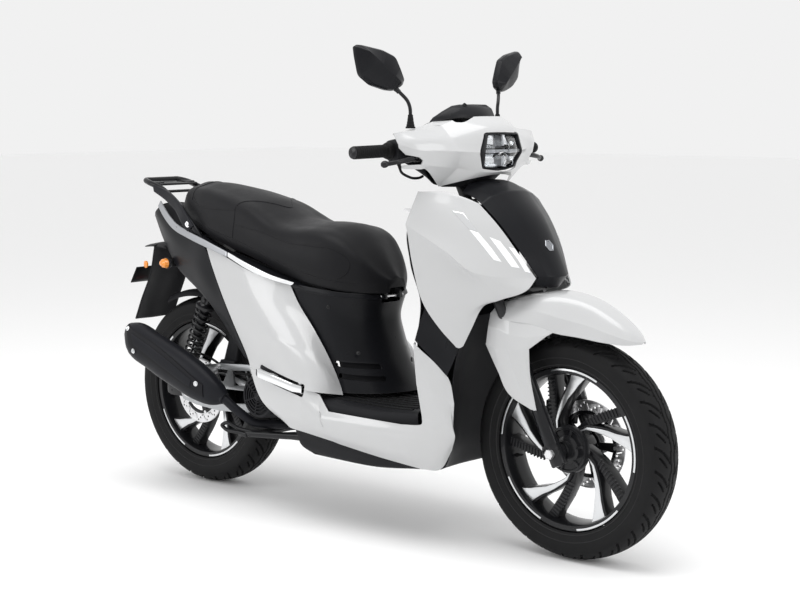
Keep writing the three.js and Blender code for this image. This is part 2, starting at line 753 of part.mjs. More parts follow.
function cowl_front() {
  const wide = cowl_half_width;
  const body = shell(
    full_width([
      [[934, -wide, 1062], [930, -240, 1067], [926, -180, 1070], [944, -135, 1082], [962, -80, 1100],
        [970, 0, 1108]],
      [[974, -wide, 1064], [984, -245, 1068], [1000, -185, 1072], [1006, -140, 1082], [1028, -92, 1100],
        [1060, 0, 1104]],
      [[982, -wide + 1, 1046], [1004, -248, 1044], [1022, -196, 1046], [1040, -140, 1050],
        [1086, -66, 1067], [1102, 0, 1070]],
      [[986, -wide + 2, 1038], [1014, -240, 1022], [1032, -190, 1020], [1062, -130, 1017],
        [1089, -80, 1014], [1120, 0, 1014]],
      [[988, -wide + 14, 990], [1010, -230, 988], [1022, -180, 980], [1040, -118, 974], [1082, -62, 964],
        [1096, 0, 964]],
      [[984, -wide + 18, 976], [1006, -222, 974], [1004, -170, 962], [1000, -104, 934], [1066, -56, 951],
        [1086, 0, 958]],
    ]),
    vec(960, 0, 1020),
  );
  const opening = loft(
    net([
      [...lamp_outline, ...lamp_outline.slice(1, -1).reverse().map(([x, y, z]) => [x, -y, z])]
        .map(([x, y, z]) => [x - 60, 1.04 * y, 1016 + 1.03 * (z - 1016)]),
      [...lamp_outline, ...lamp_outline.slice(1, -1).reverse().map(([x, y, z]) => [x, -y, z])]
        .map(([x, y, z]) => [x + 60, 1.04 * y, 1016 + 1.03 * (z - 1016)]),
    ]),
  );
  const lever_window = block(vec(940, -320, 984), vec(1060, -232, 1034));
  const display_seat = block(vec(900, -112, 1089), vec(1044, 112, 1150));
  return cut(body, opening, both(lever_window), display_seat);
}

function headlight() {
  const half = lamp_outline;
  const ring = [...half, ...half.slice(1, -1).reverse().map(([x, y, z]) => [x, -y, z])];
  const scaled = (share, shift) =>
    ring.map(([x, y, z]) => vec(x + shift, share * y, 1016 + share * (z - 1016)));
  return loft([scaled(0.8, -62), scaled(1, -14), scaled(1, -4), scaled(0.82, 8), scaled(0.4, 16)]);
}

function cowl_rear() {
  const body = shell(
    full_width([
      [[924, -190, 1062], [922, -130, 1076], [934, -80, 1094], [940, 0, 1102]],
      [[900, -190, 1040], [892, -120, 1050], [890, -70, 1056], [888, 0, 1060]],
      [[900, -190, 990], [890, -110, 976], [886, -60, 970], [884, 0, 968]],
      [[930, -184, 968], [920, -104, 940], [914, -60, 926], [912, 0, 924]],
    ]),
    vec(1000, 0, 1016),
  );
  const visor = loft(
    net([
      [[962, -104, 1094], [1022, -92, 1108], [1040, -60, 1112], [1040, 60, 1112], [1022, 92, 1108],
        [962, 104, 1094]],
      [[958, -96, 1102], [1018, -84, 1128], [1034, -54, 1131], [1034, 54, 1131], [1018, 84, 1128],
        [958, 96, 1102]],
    ]),
  );
  const neck = loft(
    net([
      [[936, -70, 1098], [962, -70, 1098], [962, 70, 1098], [936, 70, 1098]],
      [[944, -70, 1112], [984, -70, 1118], [984, 70, 1118], [944, 70, 1112]],
    ]),
  );
  const stem_way = rod(on_axis(880), on_axis(bar_height + 10), 34, 16);
  return cut(join(body, neck, visor), stem_way);
}

function switch_housing() {
  const bar_way = rod(on_grip(-300), on_grip(-190), bar_radius + touch, 16);
  const box_part = loft(
    net([
      [[916, -214, 1046], [946, -214, 1052], [964, -214, 1040], [962, -214, 992], [930, -214, 988],
        [914, -214, 1000]],
      [[914, -248, 1044], [942, -248, 1048], [960, -248, 1038], [956, -248, 994], [926, -248, 990],
        [910, -248, 1000]],
    ]),
  );
  const ear = block(vec(956, -223, lever_pivot.z + 6), vec(994, -205, lever_pivot.z + 11));
  const low_ear = block(vec(956, -223, lever_pivot.z - 11), vec(994, -205, lever_pivot.z - 6));
  const pin = rod(lever_pivot.clone().add(vec(0, 0, -9)), lever_pivot.clone().add(vec(0, 0, 9)),
    lever_pin_radius, 12);
  return cut(join(box_part, ear, low_ear, pin), bar_way);
}

function grip() {
  const outer_y = grip_inner_y - grip_length;
  const way = rod(on_grip(outer_y - 10), on_grip(grip_inner_y + 10), bar_radius + run, 20);
  const body = join(
    rod(on_grip(outer_y), on_grip(grip_inner_y), grip_radius, 20),
    rod(on_grip(grip_inner_y - 5), on_grip(grip_inner_y), grip_radius + 5, 20),
  );
  return cut(body, way);
}

function brake_lever() {
  const root = rod(lever_pivot.clone().add(vec(0, 0, -5)), lever_pivot.clone().add(vec(0, 0, 5)), 9.5, 16);
  const blade = pipe(
    [vec(986, -219, 1004), vec(998, -230, 1003), vec(998, -262, 998), vec(988, -300, 992),
      vec(978, -318, 989)],
    5, 8, 10,
  );
  const tip = ball(vec(977, -324, 988), 9, 10);
  const pin_way = rod(lever_pivot.clone().add(vec(0, 0, -12)), lever_pivot.clone().add(vec(0, 0, 12)),
    lever_pin_radius + run, 12);
  return cut(join(root, blade, tip), pin_way);
}

function throttle_cable() {
  return pipe(
    [vec(944, -231, 987), vec(947, -226, 966), vec(956, -206, 953), vec(952, -166, 949),
      vec(938, -132, 952)],
    3.4, 8, 16,
  );
}

function mirror_arm() {
  const y = -mirror_half_gap;
  const boot = rod(vec(938, y, 1074.5), vec(938, y, 1108), 10, 12, 6.5);
  const flange = rod(vec(938, y, 1074), vec(938, y, 1079), 12, 12);
  const stem = pipe(
    [vec(938, y, 1104), vec(937, y - 1, 1126), vec(935, y - 6, 1140), vec(924, y - 22, 1162),
      vec(916, y - 32, 1174)],
    4.5, 8, 8,
  );
  return join(boot, flange, stem, ball(vec(914, y - 34, 1177), 7, 10));
}

// Mirror head outline seen from the front, from the inner lower corner round: [y, z] from the ball.
const mirror_outline = [
  [-6, -10], [20, 2], [27, 18], [16, 44], [0, 76], [-40, 92], [-110, 104], [-122, 98], [-119, 76],
    [-108, 28], [-74, 4], [-30, -8],
];

function mirror_head() {
  const hub = vec(914, -mirror_half_gap - 34, 1177);
  const ring = (share, depth) =>
    mirror_outline.map(([y, z]) => {
      const [cy, cz] = [-48, 48];
      const [py, pz] = [cy + share * (y - cy), cz + share * (z - cz)];
      return vec(hub.x + depth + 0.2 * (py + 30), hub.y + py, hub.z + pz);
    });
  const body = loft([ring(0.94, -12), ring(1, -10), ring(0.98, 0), ring(0.72, 14), ring(0.3, 20)]);
  return cut(body, ball(hub, 7 + 2 * run, 10), rod(hub, vec(928, -mirror_half_gap - 16, 1152), 9, 10));
}

function starter_button() {
  return rod(vec(908, -232, 1012), vec(899, -232, 1012), 6, 12);
}
function horn_button() {
  return rod(vec(908, 232, 1006), vec(899, 232, 1006), 6, 12);
}
function indicator_switch() {
  return block(vec(899, 224, 1020), vec(909, 240, 1030));
}

// ---------------------------------------------------------------- front wheel and fork

function fork_leg() {
  const y = -fork_leg_half_gap;
  const leg = rod(on_leg(-34, y), on_leg(fork_leg_length, y), fork_leg_radius, 16);
  const bore = rod(on_leg(fork_bore_foot, y), on_leg(fork_leg_length + 20, y), stanchion_radius + run, 14);
  const axle_way = rod(
    front_axle.clone().add(vec(0, y - 40, 0)), front_axle.clone().add(vec(0, y + 40, 0)),
      axle_radius + touch, 16,
  );
  return cut(leg, bore, axle_way);
}

function front_fender() {
  const top = shell(
    full_width([
      [[1128, -92, 612], [1140, -82, 630], [1146, -60, 641], [1150, 0, 646]],
      [[1196, -104, 600], [1206, -84, 630], [1212, -62, 655], [1218, 0, 664]],
      [[1260, -88, 592], [1270, -80, 625], [1284, -54, 662], [1292, 0, 673]],
      [[1312, -76, 576], [1336, -72, 612], [1344, -48, 656], [1350, 0, 664]],
      [[1385, -70, 570], [1402, -62, 600], [1406, -40, 638], [1410, 0, 645]],
      [[1450, -58, 562], [1464, -50, 582], [1468, -32, 606], [1472, 0, 612]],
      [[1500, -34, 558], [1508, -28, 568], [1510, -16, 580], [1512, 0, 583]],
      [[1524, -8, 560], [1526, -6, 563], [1527, -3, 566], [1528, 0, 567]],
    ]),
    vec(1330, 0, 400), 3,
  );
  // The cover's points stand outside the fork leg: y is measured inwards from the leg's outer side.
  const leg_side = fork_leg_half_gap + fork_leg_radius;
  const beside_leg = (rows) => rows.map((row) => row.map(([x, y, z]) => [x, y - leg_side, z]));
  const cover = shell(
    net(beside_leg([
      [[1128, 13, 612], [1160, -1, 606], [1196, -5, 600], [1232, 1, 596]],
      [[1132, -1, 580], [1164, -8, 578], [1204, -11, 566], [1252, 1, 566]],
      [[1128, -3, 534], [1160, -9, 530], [1202, -12, 530], [1242, -5, 532]],
      [[1166, -5, 474], [1194, -9, 472], [1226, -11, 470], [1256, -5, 470]],
      [[1212, -5, 410], [1236, -7, 408], [1260, -8, 408], [1276, -5, 410]],
      [[1270, -5, 386], [1276, -5, 385], [1281, -5, 384], [1286, -5, 385]],
    ])),
    vec(1200, 0, 500), 3,
  );
  const bridge_top = shell(
    net([
      [[1128, -95, 613], [1200, -112, 600], [1262, -104, 590]],
      [[1140, -80, 628], [1206, -82, 628], [1272, -78, 620]],
    ]),
    vec(1200, 0, 400), 4,
  );
  const stanchion_way = rod(on_leg(300, -fork_leg_half_gap), on_leg(440, -fork_leg_half_gap),
    stanchion_radius + touch, 14);
  return cut(join(top, cover, mirrored(cover), bridge_top, mirrored(bridge_top)), both(stanchion_way));
}

function front_caliper() {
  const box_part = block(vec(1214, 58, 318), vec(1276, 66, 384));
  const outer = block(vec(1214, 42, 318), vec(1276, 50, 384));
  const back = block(vec(1206, 42, 318), vec(1216, 84, 384));
  const bracket = plate([[1240, 326], [1288, 330], [1288, 372], [1240, 380]], 64,
    fork_leg_half_gap - fork_leg_radius - touch);
  const leg_way = rod(on_leg(-34, fork_leg_half_gap), on_leg(fork_leg_length, fork_leg_half_gap),
    fork_leg_radius + touch, 16);
  return cut(join(box_part, outer, back, bracket), leg_way);
}

function front_axle_shaft() {
  const end = fork_leg_half_gap + fork_leg_radius;
  const shaft = rod(
    front_axle.clone().add(vec(0, -end - 4, 0)), front_axle.clone().add(vec(0, end + 4, 0)), axle_radius,
      16,
  );
  const nut = rod(
    front_axle.clone().add(vec(0, -end - 12, 0)), front_axle.clone().add(vec(0, -end - touch, 0)), 13, 6,
  );
  const head = rod(
    front_axle.clone().add(vec(0, end + touch, 0)), front_axle.clone().add(vec(0, end + 9, 0)), 13, 16,
  );
  return join(shaft, nut, head);
}

// ---------------------------------------------------------------- wheels

function tyre(x) {
  const outside = tyre_radius / cos(PI / tyre_sides);
  const bead = rim_radius - rim_depth + 10;
  const half = tyre_width / 2;
  const profile = [
    [bead, -rim_width / 2 - 4], [bead + 30, -half], [outside - 18, -half + 6],
      [outside - 5, -tyre_crown / 2 - 14],
    [outside, -tyre_crown / 2], [outside, tyre_crown / 2], [outside - 5, tyre_crown / 2 + 14],
      [outside - 18, half - 6],
    [bead + 30, half], [bead, rim_width / 2 + 4], [bead, -rim_width / 2 - 4],
  ];
  return turning(profile, tyre_sides, x, axle_height, PI / tyre_sides);
}

function wheel_rim(x, disc_face) {
  const outer = rim_radius - rim_depth + 10 - 0.6;
  const inner = outer - 14;
  const half = rim_width / 2;
  const profile = [
    [inner, -half + 8], [outer, -half - 0], [outer, half], [inner, half - 8], [inner, -half + 8],
  ];
  const barrel = turning(profile, tyre_sides, x, axle_height, PI / tyre_sides);
  const hub = rod(vec(x, -hub_width / 2, axle_height), vec(x, hub_width / 2, axle_height), hub_radius, 20);
  const disc_boss = rod(vec(x, 0, axle_height), vec(x, disc_face, axle_height), 30, 16);
  let wheel = join(barrel, hub, disc_boss);
  for (let i = 0; i < spoke_pairs; i++) {
    for (const [turn, width] of [[0, 17], [0.5, 12]]) {
      const angle = (2 * PI * (i + turn)) / spoke_pairs;
      const lean = turn ? 0.1 : 0.55;
      const along = (radius, a) => [radius * cos(a), radius * sin(a)];
      const [x0, z0] = along(hub_radius - 6, angle);
      const [x1, z1] = along(outer - 8, angle + lean * 0.5);
      const side = vec(-(z1 - z0), 0, x1 - x0).normalize().multiplyScalar(width / 2);
      const spoke = plate(
        [
          [x + x0 - side.x, axle_height + z0 - side.z], [x + x1 - side.x, axle_height + z1 - side.z],
          [x + x1 + side.x, axle_height + z1 + side.z], [x + x0 + side.x, axle_height + z0 + side.z],
        ],
        -26 + 8 * turn, 22,
      );
      wheel = join(wheel, spoke);
    }
  }
  const bore = rod(vec(x, -80, axle_height), vec(x, 80, axle_height), (x ? axle_radius : 14) + run, 16);
  return cut(wheel, bore);
}

function brake_disc(x, y, radius) {
  const ring = [[radius, y], [radius, y + disc_thickness], [radius - 32, y + disc_thickness],
    [radius - 32, y], [radius, y]];
  const carrier = [[radius - 28, y], [radius - 28, y + disc_thickness], [22, y + disc_thickness], [22, y],
    [radius - 28, y]];
  const plain = join(turning(ring, 30, x, axle_height), turning(carrier, 30, x, axle_height));
  let disc = plain;
  for (let i = 0; i < 5; i++) {
    const angle = (2 * PI * (i + 0.5)) / 5;
    const middle = (radius - 28 + 24) / 2 + 10;
    const at = vec(x + middle * cos(angle), y - 5, axle_height + middle * sin(angle));
    disc = cut(disc, rod(at, at.clone().add(vec(0, disc_thickness + 10, 0)), 13, 10));
  }
  return disc;
}

// ---------------------------------------------------------------- power unit and rear suspension

function stadium(x0, z0, r0, x1, z1, r1, steps = 8) {
  const points = [];
  const lean = Math.atan2(z1 - z0, x1 - x0);
  for (let i = 0; i <= steps; i++) {
    const angle = lean + PI / 2 + (PI * i) / steps;
    points.push([x0 + r0 * cos(angle), z0 + r0 * sin(angle)]);
  }
  for (let i = 0; i <= steps; i++) {
    const angle = lean - PI / 2 + (PI * i) / steps;
    points.push([x1 + r1 * cos(angle), z1 + r1 * sin(angle)]);
  }
  return points;
}

const crank_x = 352;
const crank_z = 316;

function engine_case() {
  const block_part = plate(stadium(crank_x + 8, crank_z - 4, 62, crank_x + 10, crank_z, 70), -102, 56);
  const fan = rod(vec(crank_x, -158, crank_z), vec(crank_x, -100, crank_z), 60, 24, 68);
  const barrel = rod(vec(crank_x + 44, -20, crank_z + 20), vec(crank_x + 144, -20, crank_z + 36), 50, 16);
  const port = rod(vec(438, -38, 267.5), vec(438, -34, 300), 13, 12);
  const boss = rod(
    vec(swing_pivot_x, -rail_half_gap + 20, swing_pivot_z),
      vec(swing_pivot_x, rail_half_gap - 64, swing_pivot_z), 20, 16,
  );
  const neck = plate([[400, 250], [470, 234], [470, 272], [410, 300]], -12, 36);
  const arm = plate(
    [[300, 386], [140, 380], [20, 352], [-32, 330], [-34, 262], [30, 246], [230, 248], [300, 260]], -101,
      -92,
  );
  const axle_tube = rod(vec(0, -101, axle_height), vec(0, -66, axle_height), 22, 16);
  const shock_lug = rod(
    vec(shock_foot_x, -shock_half_gap - 14, shock_foot_z), vec(shock_foot_x, -94, shock_foot_z), 7, 10,
  );
  const shaft = rod(vec(0, -70, axle_height), vec(0, 76, axle_height), 14, 16);
  const pin_way = rod(
    vec(swing_pivot_x, -rail_half_gap, swing_pivot_z), vec(swing_pivot_x, rail_half_gap, swing_pivot_z),
      9 + run, 10,
  );
  return cut(join(block_part, fan, barrel, port, boss, neck, arm, axle_tube, shock_lug, shaft), pin_way);
}

function cvt_case() {
  const body = plate(stadium(0, axle_height + 4, 76, crank_x, crank_z, 84, 9), 58, 98);
  const lid = plate(stadium(112, axle_height + 14, 66, crank_x, crank_z, 78, 9), 96, 136);
  const hub_way = rod(vec(0, 40, axle_height), vec(0, 64, axle_height), 48, 24);
  const shaft_way = rod(vec(0, 50, axle_height), vec(0, 80, axle_height), 14 + run, 16);
  const lug = rod(
    vec(shock_foot_x, 94, shock_foot_z), vec(shock_foot_x, shock_half_gap + 14, shock_foot_z), 7, 10,
  );
  return cut(join(body, lid, lug), hub_way, shaft_way);
}

// [x, centre y, centre z, half width, half height]
const muffler_sections = [
  [-160, -190, 462, 20, 26],
  [-138, -190, 446, 32, 46],
  [-40, -188, 404, 36, 56],
  [60, -184, 366, 36, 58],
  [140, -178, 332, 34, 52],
  [200, -170, 306, 26, 34],
  [226, -164, 296, 14, 16],
];

function muffler() {
  const lean = -0.36;
  const rings = muffler_sections.map(([x, y, z, half, tall]) => {
    const ring = [];
    for (let i = 0; i < 12; i++) {
      const angle = (2 * PI * i) / 12;
      const [a, b] = [half * cos(angle), tall * sin(angle)];
      ring.push(vec(x + b * sin(-lean), y + a, z + b * cos(lean)));
    }
    return ring;
  });
  const pipe_part = pipe(
    [
      vec(215, -165, 300), vec(262, -148, 262), vec(300, -116, 228), vec(350, -74, 224), vec(404, -50, 226),
      vec(429, -40, 245), vec(436, -38, 259),
    ],
    13, 10, 20,
  );
  const bracket = rod(vec(120, -160, 360), vec(120, -101.6, 360), 10, 10);
  return join(loft(rings), pipe_part, bracket);
}

function rear_hugger() {
  const arch = (radius, half, from, to, steps) => {
    const rows = [];
    for (let i = 0; i <= steps; i++) {
      const angle = from + ((to - from) * i) / steps;
      const point = (r, y) => [r * cos(angle), y, axle_height + r * sin(angle)];
      rows.push([point(radius - 16, -half), point(radius - 3, -half + 12), point(radius, 0)]);
    }
    return rows;
  };
  const from = THREE.MathUtils.degToRad(50);
  const to = THREE.MathUtils.degToRad(116);
  const arch_radius = tyre_radius + 22;
  const skin_part = shell(full_width(arch(arch_radius, 70, from, to, 6)), rear_axle, skin);
  const stay_end = (inset, degrees) => {
    const angle = THREE.MathUtils.degToRad(degrees);
    const reach = arch_radius - inset;
    return [reach * cos(angle), axle_height + reach * sin(angle)];
  };
  const stay = plate([[130, 376], [186, 384], stay_end(9.5, 45.4), stay_end(17.3, 52)], -84, -66);
  const foot = block(vec(128, -91.6, 372), vec(188, -70, 392));
  return join(skin_part, stay, foot);
}

const shock_top = (y) => vec(shock_top_x, y, shock_top_z);
const shock_foot = (y) => vec(shock_foot_x, y, shock_foot_z);

function shock_upper(y) {
  const along = shock_foot(y).sub(shock_top(y)).normalize();
  const at = (s) => shock_top(y).addScaledVector(along, s);
  const eye = rod(shock_top(y - 11), shock_top(y + 11), 15, 14);
  const can = rod(at(8), at(130), shock_can_radius, 14);
  const seat = rod(at(16), at(21), spring_radius + 2, 16);
  const bore = rod(at(24), at(140), shock_rod_radius + run, 12);
  const way = rod(shock_top(y - 20), shock_top(y + 20), 6 + run, 10);
  return cut(join(eye, can, seat), bore, way);
}

function shock_lower(y) {
  const along = shock_foot(y).sub(shock_top(y)).normalize();
  const length = shock_foot(y).sub(shock_top(y)).length();
  const at = (s) => shock_top(y).addScaledVector(along, s);
  const eye = rod(shock_foot(y - 11), shock_foot(y + 11), 15, 14);
  const shaft = rod(at(98), at(length - 8), shock_rod_radius, 12);
  const seat = rod(at(length - 66), at(length - 61), spring_radius + 2, 16);
  const sleeve = rod(at(length - 62), at(length - 8), 11, 14);
  const way = rod(shock_foot(y - 20), shock_foot(y + 20), 7 + 2.5, 10);
  return cut(join(eye, shaft, seat, sleeve), way);
}

// ---------------------------------------------------------------- stands and pegs

function centre_stand() {
  const half = rail_half_gap + 8;
  const shaft = rod(
    vec(stand_pivot.x, -half, stand_pivot.z), vec(stand_pivot.x, half, stand_pivot.z), 9, 12,
  );
  const leg = pipe(
    [vec(stand_pivot.x, -half, stand_pivot.z), vec(400, -half - 4, 207), vec(280, -half - 10, 198)], 10,
      8, 7,
  );
  const foot = block(vec(264, -half - 24, 188), vec(292, -half + 4, 202));
  const tang = pipe([vec(300, -half - 8, 204), vec(250, -half - 20, 208), vec(200, -half - 24, 214)], 7,
    8, 6);
  const tie_bar = rod(vec(330, -half - 8, 201), vec(330, half + 8, 201), 8, 10);
  return join(shaft, both(leg), both(foot), tang, tie_bar);
}

function footpeg() {
  const blade = loft(
    net([
      [[404, -214, 408], [404, -200, 408], [404, -200, 390], [404, -214, 390]],
      [[420, -222, 410], [420, -198, 410], [420, -198, 386], [420, -222, 386]],
      [[556, -226, 386], [556, -200, 386], [556, -200, 362], [556, -226, 362]],
      [[582, -216, 380], [582, -196, 380], [582, -196, 360], [582, -216, 360]],
    ]),
  );
  const pin_way = turned(
    rod(peg_pivot.clone().add(vec(0, 0, -30)), peg_pivot.clone().add(vec(0, 0, 30)), 4 + run, 12),
      vec(0, 1, 0), peg_slope, peg_pivot,
  );
  return cut(blade, pin_way);
}

// ---------------------------------------------------------------- assembly

const scooter = new THREE.Group();

function add(name, manifold, look) {
  const material = new THREE.MeshStandardMaterial(look);
  const mesh = new THREE.Mesh(geometry(manifold), material);
  mesh.name = name;
  scooter.add(mesh);
}

function pair(name, manifold, look) {
  add(name + "_right", manifold, look);
  add(name + "_left", mirrored(manifold), look);
}

add("main_frame", main_frame(), black_paint);
pair("apron", apron(), white_gloss);
add("nose_panel", nose_panel(), black_satin);
add("leg_shield", leg_shield(), black_matte);
add("belly_pan", belly_pan(), black_matte);
add("floor_board", floor_board(), black_matte);
pair("side_skirt", side_skirt(), white_gloss);
add("seat_pedestal", seat_pedestal(), black_satin);
add("tail_cover", tail_cover(), black_satin);
add("tail_light", tail_light(), lens_red);
add("helmet_box", helmet_box(), black_matte);
add("grab_rail", grab_rail(), black_satin);
add("rear_mudguard", rear_mudguard(), black_matte);
add("fuel_tank", fuel_tank(), black_matte);
add("ignition_key", ignition_key(), steel);

add("seat_cushion", seat_cushion(), seat_vinyl);
add("seat_base", seat_base(), black_matte);

add("steering_stem", steering_stem(), steel);
add("handlebar", handlebar(), steel);
add("cowl_front", cowl_front(), white_gloss);
add("cowl_rear", cowl_rear(), black_matte);
add("headlight", headlight(), lens_clear);
pair("switch_housing", switch_housing(), black_matte);
add("throttle_grip", grip(), rubber);
add("grip_left", mirrored(grip()), rubber);
pair("brake_lever", brake_lever(), black_paint);
add("throttle_cable", throttle_cable(), rubber);
pair("mirror_arm", mirror_arm(), black_satin);
pair("mirror_head", mirror_head(), black_satin);
add("starter_button", starter_button(), black_matte);
add("horn_button", horn_button(), black_matte);
add("indicator_switch", indicator_switch(), black_matte);

pair("fork_leg", fork_leg(), black_paint);
add("front_fender", front_fender(), white_gloss);
add("front_caliper", front_caliper(), black_paint);
add("front_axle", front_axle_shaft(), steel);
add("front_rim", wheel_rim(wheelbase, front_disc_y - touch), black_paint);
add("front_tyre", tyre(wheelbase), rubber);
add("front_disc", brake_disc(wheelbase, front_disc_y, front_disc_radius), steel);

add("engine_case", engine_case(), alloy);
add("cvt_case", cvt_case(), black_paint);
add("muffler", muffler(), black_matte);
add("rear_hugger", rear_hugger(), black_matte);
add("rear_rim", wheel_rim(0, rear_disc_y + disc_thickness + touch), black_paint);
add("rear_tyre", tyre(0), rubber);
add("rear_disc", brake_disc(0, rear_disc_y, rear_disc_radius), steel);
add("shock_upper_right", shock_upper(-shock_half_gap), black_paint);
add("shock_upper_left", shock_upper(shock_half_gap), black_paint);
add("shock_lower_right", shock_lower(-shock_half_gap), black_paint);
add("shock_lower_left", shock_lower(shock_half_gap), black_paint);

add("centre_stand", centre_stand(), black_paint);
pair("footpeg", footpeg(), chrome);

const extent = new THREE.Box3().setFromObject(scooter);
scooter.position.x = -(extent.min.x + extent.max.x) / 2;

export default scooter;
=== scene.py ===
"""The looks of a moped scooter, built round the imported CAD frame.

Lengths are in millimetres with x = 0 at the rear axle, as the scooter is laid out, and become metres in
the row frame in place(). The right side has negative y; left pieces are the right ones reflected.
"""

import json
import math

import bmesh
import bpy
import numpy as np
from mathutils import Matrix, Vector
from mathutils.bvhtree import BVHTree


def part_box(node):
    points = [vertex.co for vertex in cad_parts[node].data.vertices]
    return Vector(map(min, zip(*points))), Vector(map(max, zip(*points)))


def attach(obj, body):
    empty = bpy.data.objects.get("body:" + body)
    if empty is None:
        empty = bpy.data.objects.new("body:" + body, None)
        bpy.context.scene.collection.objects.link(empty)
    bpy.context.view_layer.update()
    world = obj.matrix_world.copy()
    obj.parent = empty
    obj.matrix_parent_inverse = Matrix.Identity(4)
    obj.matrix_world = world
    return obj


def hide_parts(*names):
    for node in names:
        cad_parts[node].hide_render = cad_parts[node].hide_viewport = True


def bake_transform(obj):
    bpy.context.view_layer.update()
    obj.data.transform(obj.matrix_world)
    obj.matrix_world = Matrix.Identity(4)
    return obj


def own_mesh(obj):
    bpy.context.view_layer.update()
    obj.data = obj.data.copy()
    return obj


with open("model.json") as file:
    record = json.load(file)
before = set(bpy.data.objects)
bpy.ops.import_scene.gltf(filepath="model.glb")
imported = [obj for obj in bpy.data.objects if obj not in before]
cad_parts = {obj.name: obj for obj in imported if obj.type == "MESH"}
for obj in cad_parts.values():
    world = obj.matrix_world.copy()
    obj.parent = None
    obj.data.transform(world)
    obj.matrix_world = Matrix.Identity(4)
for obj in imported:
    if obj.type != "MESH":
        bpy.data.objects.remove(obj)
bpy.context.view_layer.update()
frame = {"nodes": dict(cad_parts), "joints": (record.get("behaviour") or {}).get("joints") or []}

rear_tyre_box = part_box("rear_tyre")
front_tyre_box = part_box("front_tyre")
rear_axle_x = (rear_tyre_box[0][0] + rear_tyre_box[1][0]) / 2
wheelbase = (front_tyre_box[0][0] + front_tyre_box[1][0]) / 2 * 1000 - rear_axle_x * 1000
tyre_radius = (rear_tyre_box[1][2] - rear_tyre_box[0][2]) / 2 * 1000
rake = math.radians(26.5)
leg_half_gap = (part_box("fork_leg_left")[0][1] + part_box("fork_leg_left")[1][1]) / 2 * 1000


# ---------------------------------------------------------------- points and curves


def place(points):
    """Scooter millimetres to row-frame metres."""
    return np.asarray(points, float) / 1000 + np.array([rear_axle_x, 0, 0])


def spline(points, steps, breaks=(), closed=False):
    """Points of a smooth curve through the rows of an array, with sharp turns at the breaks."""
    p = np.asarray(points, float)
    count = len(p)
    ahead = np.roll(p, -1, 0) - p
    size = np.linalg.norm(ahead, axis=-1)
    while size.ndim > 1:
        size = size.mean(-1)
    size = np.maximum(size, 1e-6)
    slope = ahead / size.reshape((-1,) + (1,) * (p.ndim - 1))
    pieces = count if closed else count - 1
    tangent_out = np.empty_like(p)
    tangent_in = np.empty_like(p)
    for i in range(count):
        before = (i - 1) % count
        if not closed and i == 0:
            tangent_out[i] = tangent_in[i] = slope[0]
        elif not closed and i == count - 1:
            tangent_out[i] = tangent_in[i] = slope[count - 2]
        elif i in breaks:
            tangent_out[i] = slope[i]
            tangent_in[i] = slope[before]
        else:
            a, b = size[before], size[i]
            tangent_out[i] = tangent_in[i] = (slope[before] * b + slope[i] * a) / (a + b)
    out = []
    for i in range(pieces):
        j = (i + 1) % count
        samples = list(np.linspace(0, 1, steps + 1)[:-1])
        if i in breaks:
            samples.append(0.05)
        if j in breaks:
            samples.append(0.95)
        for t in sorted(samples):
            h00 = 2 * t**3 - 3 * t**2 + 1
            h10 = t**3 - 2 * t**2 + t
            h01 = 3 * t**2 - 2 * t**3
            h11 = t**3 - t**2
            out.append(
                h00 * p[i] + h10 * size[i] * tangent_out[i] + h01 * p[j] + h11 * size[i] * tangent_in[j]
            )
    if not closed:
        out.append(p[-1])
    return np.array(out)


def surface(rows, steps=(6, 6), breaks=((), ()), closed=False):
    """A fine grid through a net of points. closed joins each row's last point to its first."""
    grid = spline(rows, steps[0], breaks[0])
    turned_grid = np.swapaxes(grid, 0, 1)
    fine = spline(turned_grid, steps[1], breaks[1], closed)
    return np.swapaxes(fine, 0, 1)


def full_width(rows):
    """Rows given from the right edge to the centre, carried on to the left edge."""
    return [row + [[x, -y, z] for x, y, z in reversed(row[:-1])] for row in rows]


# ---------------------------------------------------------------- meshes


def new_object(name, vertices, faces):
    mesh = bpy.data.meshes.new(name)
    mesh.from_pydata([tuple(v) for v in vertices], [], [tuple(f) for f in faces])
    mesh.validate()
    obj = bpy.data.objects.new(name, mesh)
    bpy.context.scene.collection.objects.link(obj)
    return obj


def settle(obj, sharp=34):
    """Applies the modifiers, points the faces outwards and smooths all but the sharp edges."""
    evaluated = obj.evaluated_get(bpy.context.evaluated_depsgraph_get())
    mesh = bpy.data.meshes.new_from_object(evaluated)
    obj.modifiers.clear()
    old = obj.data
    obj.data = mesh
    if old.users == 0 and isinstance(old, bpy.types.Mesh):
        bpy.data.meshes.remove(old)
    work = bmesh.new()
    work.from_mesh(mesh)
    bmesh.ops.remove_doubles(work, verts=work.verts, dist=1e-6)
    bmesh.ops.recalc_face_normals(work, faces=work.faces)
    work.to_mesh(mesh)
    work.free()
    mesh.shade_smooth()
    mesh.set_sharp_from_angle(angle=math.radians(sharp))
    return obj


def rounded(obj, width=1.0, segments=2, angle=40):
    bevel = obj.modifiers.new("round", "BEVEL")
    bevel.width = width / 1000
    bevel.segments = segments
    bevel.limit_method = "ANGLE"
    bevel.angle_limit = math.radians(angle)
    return obj


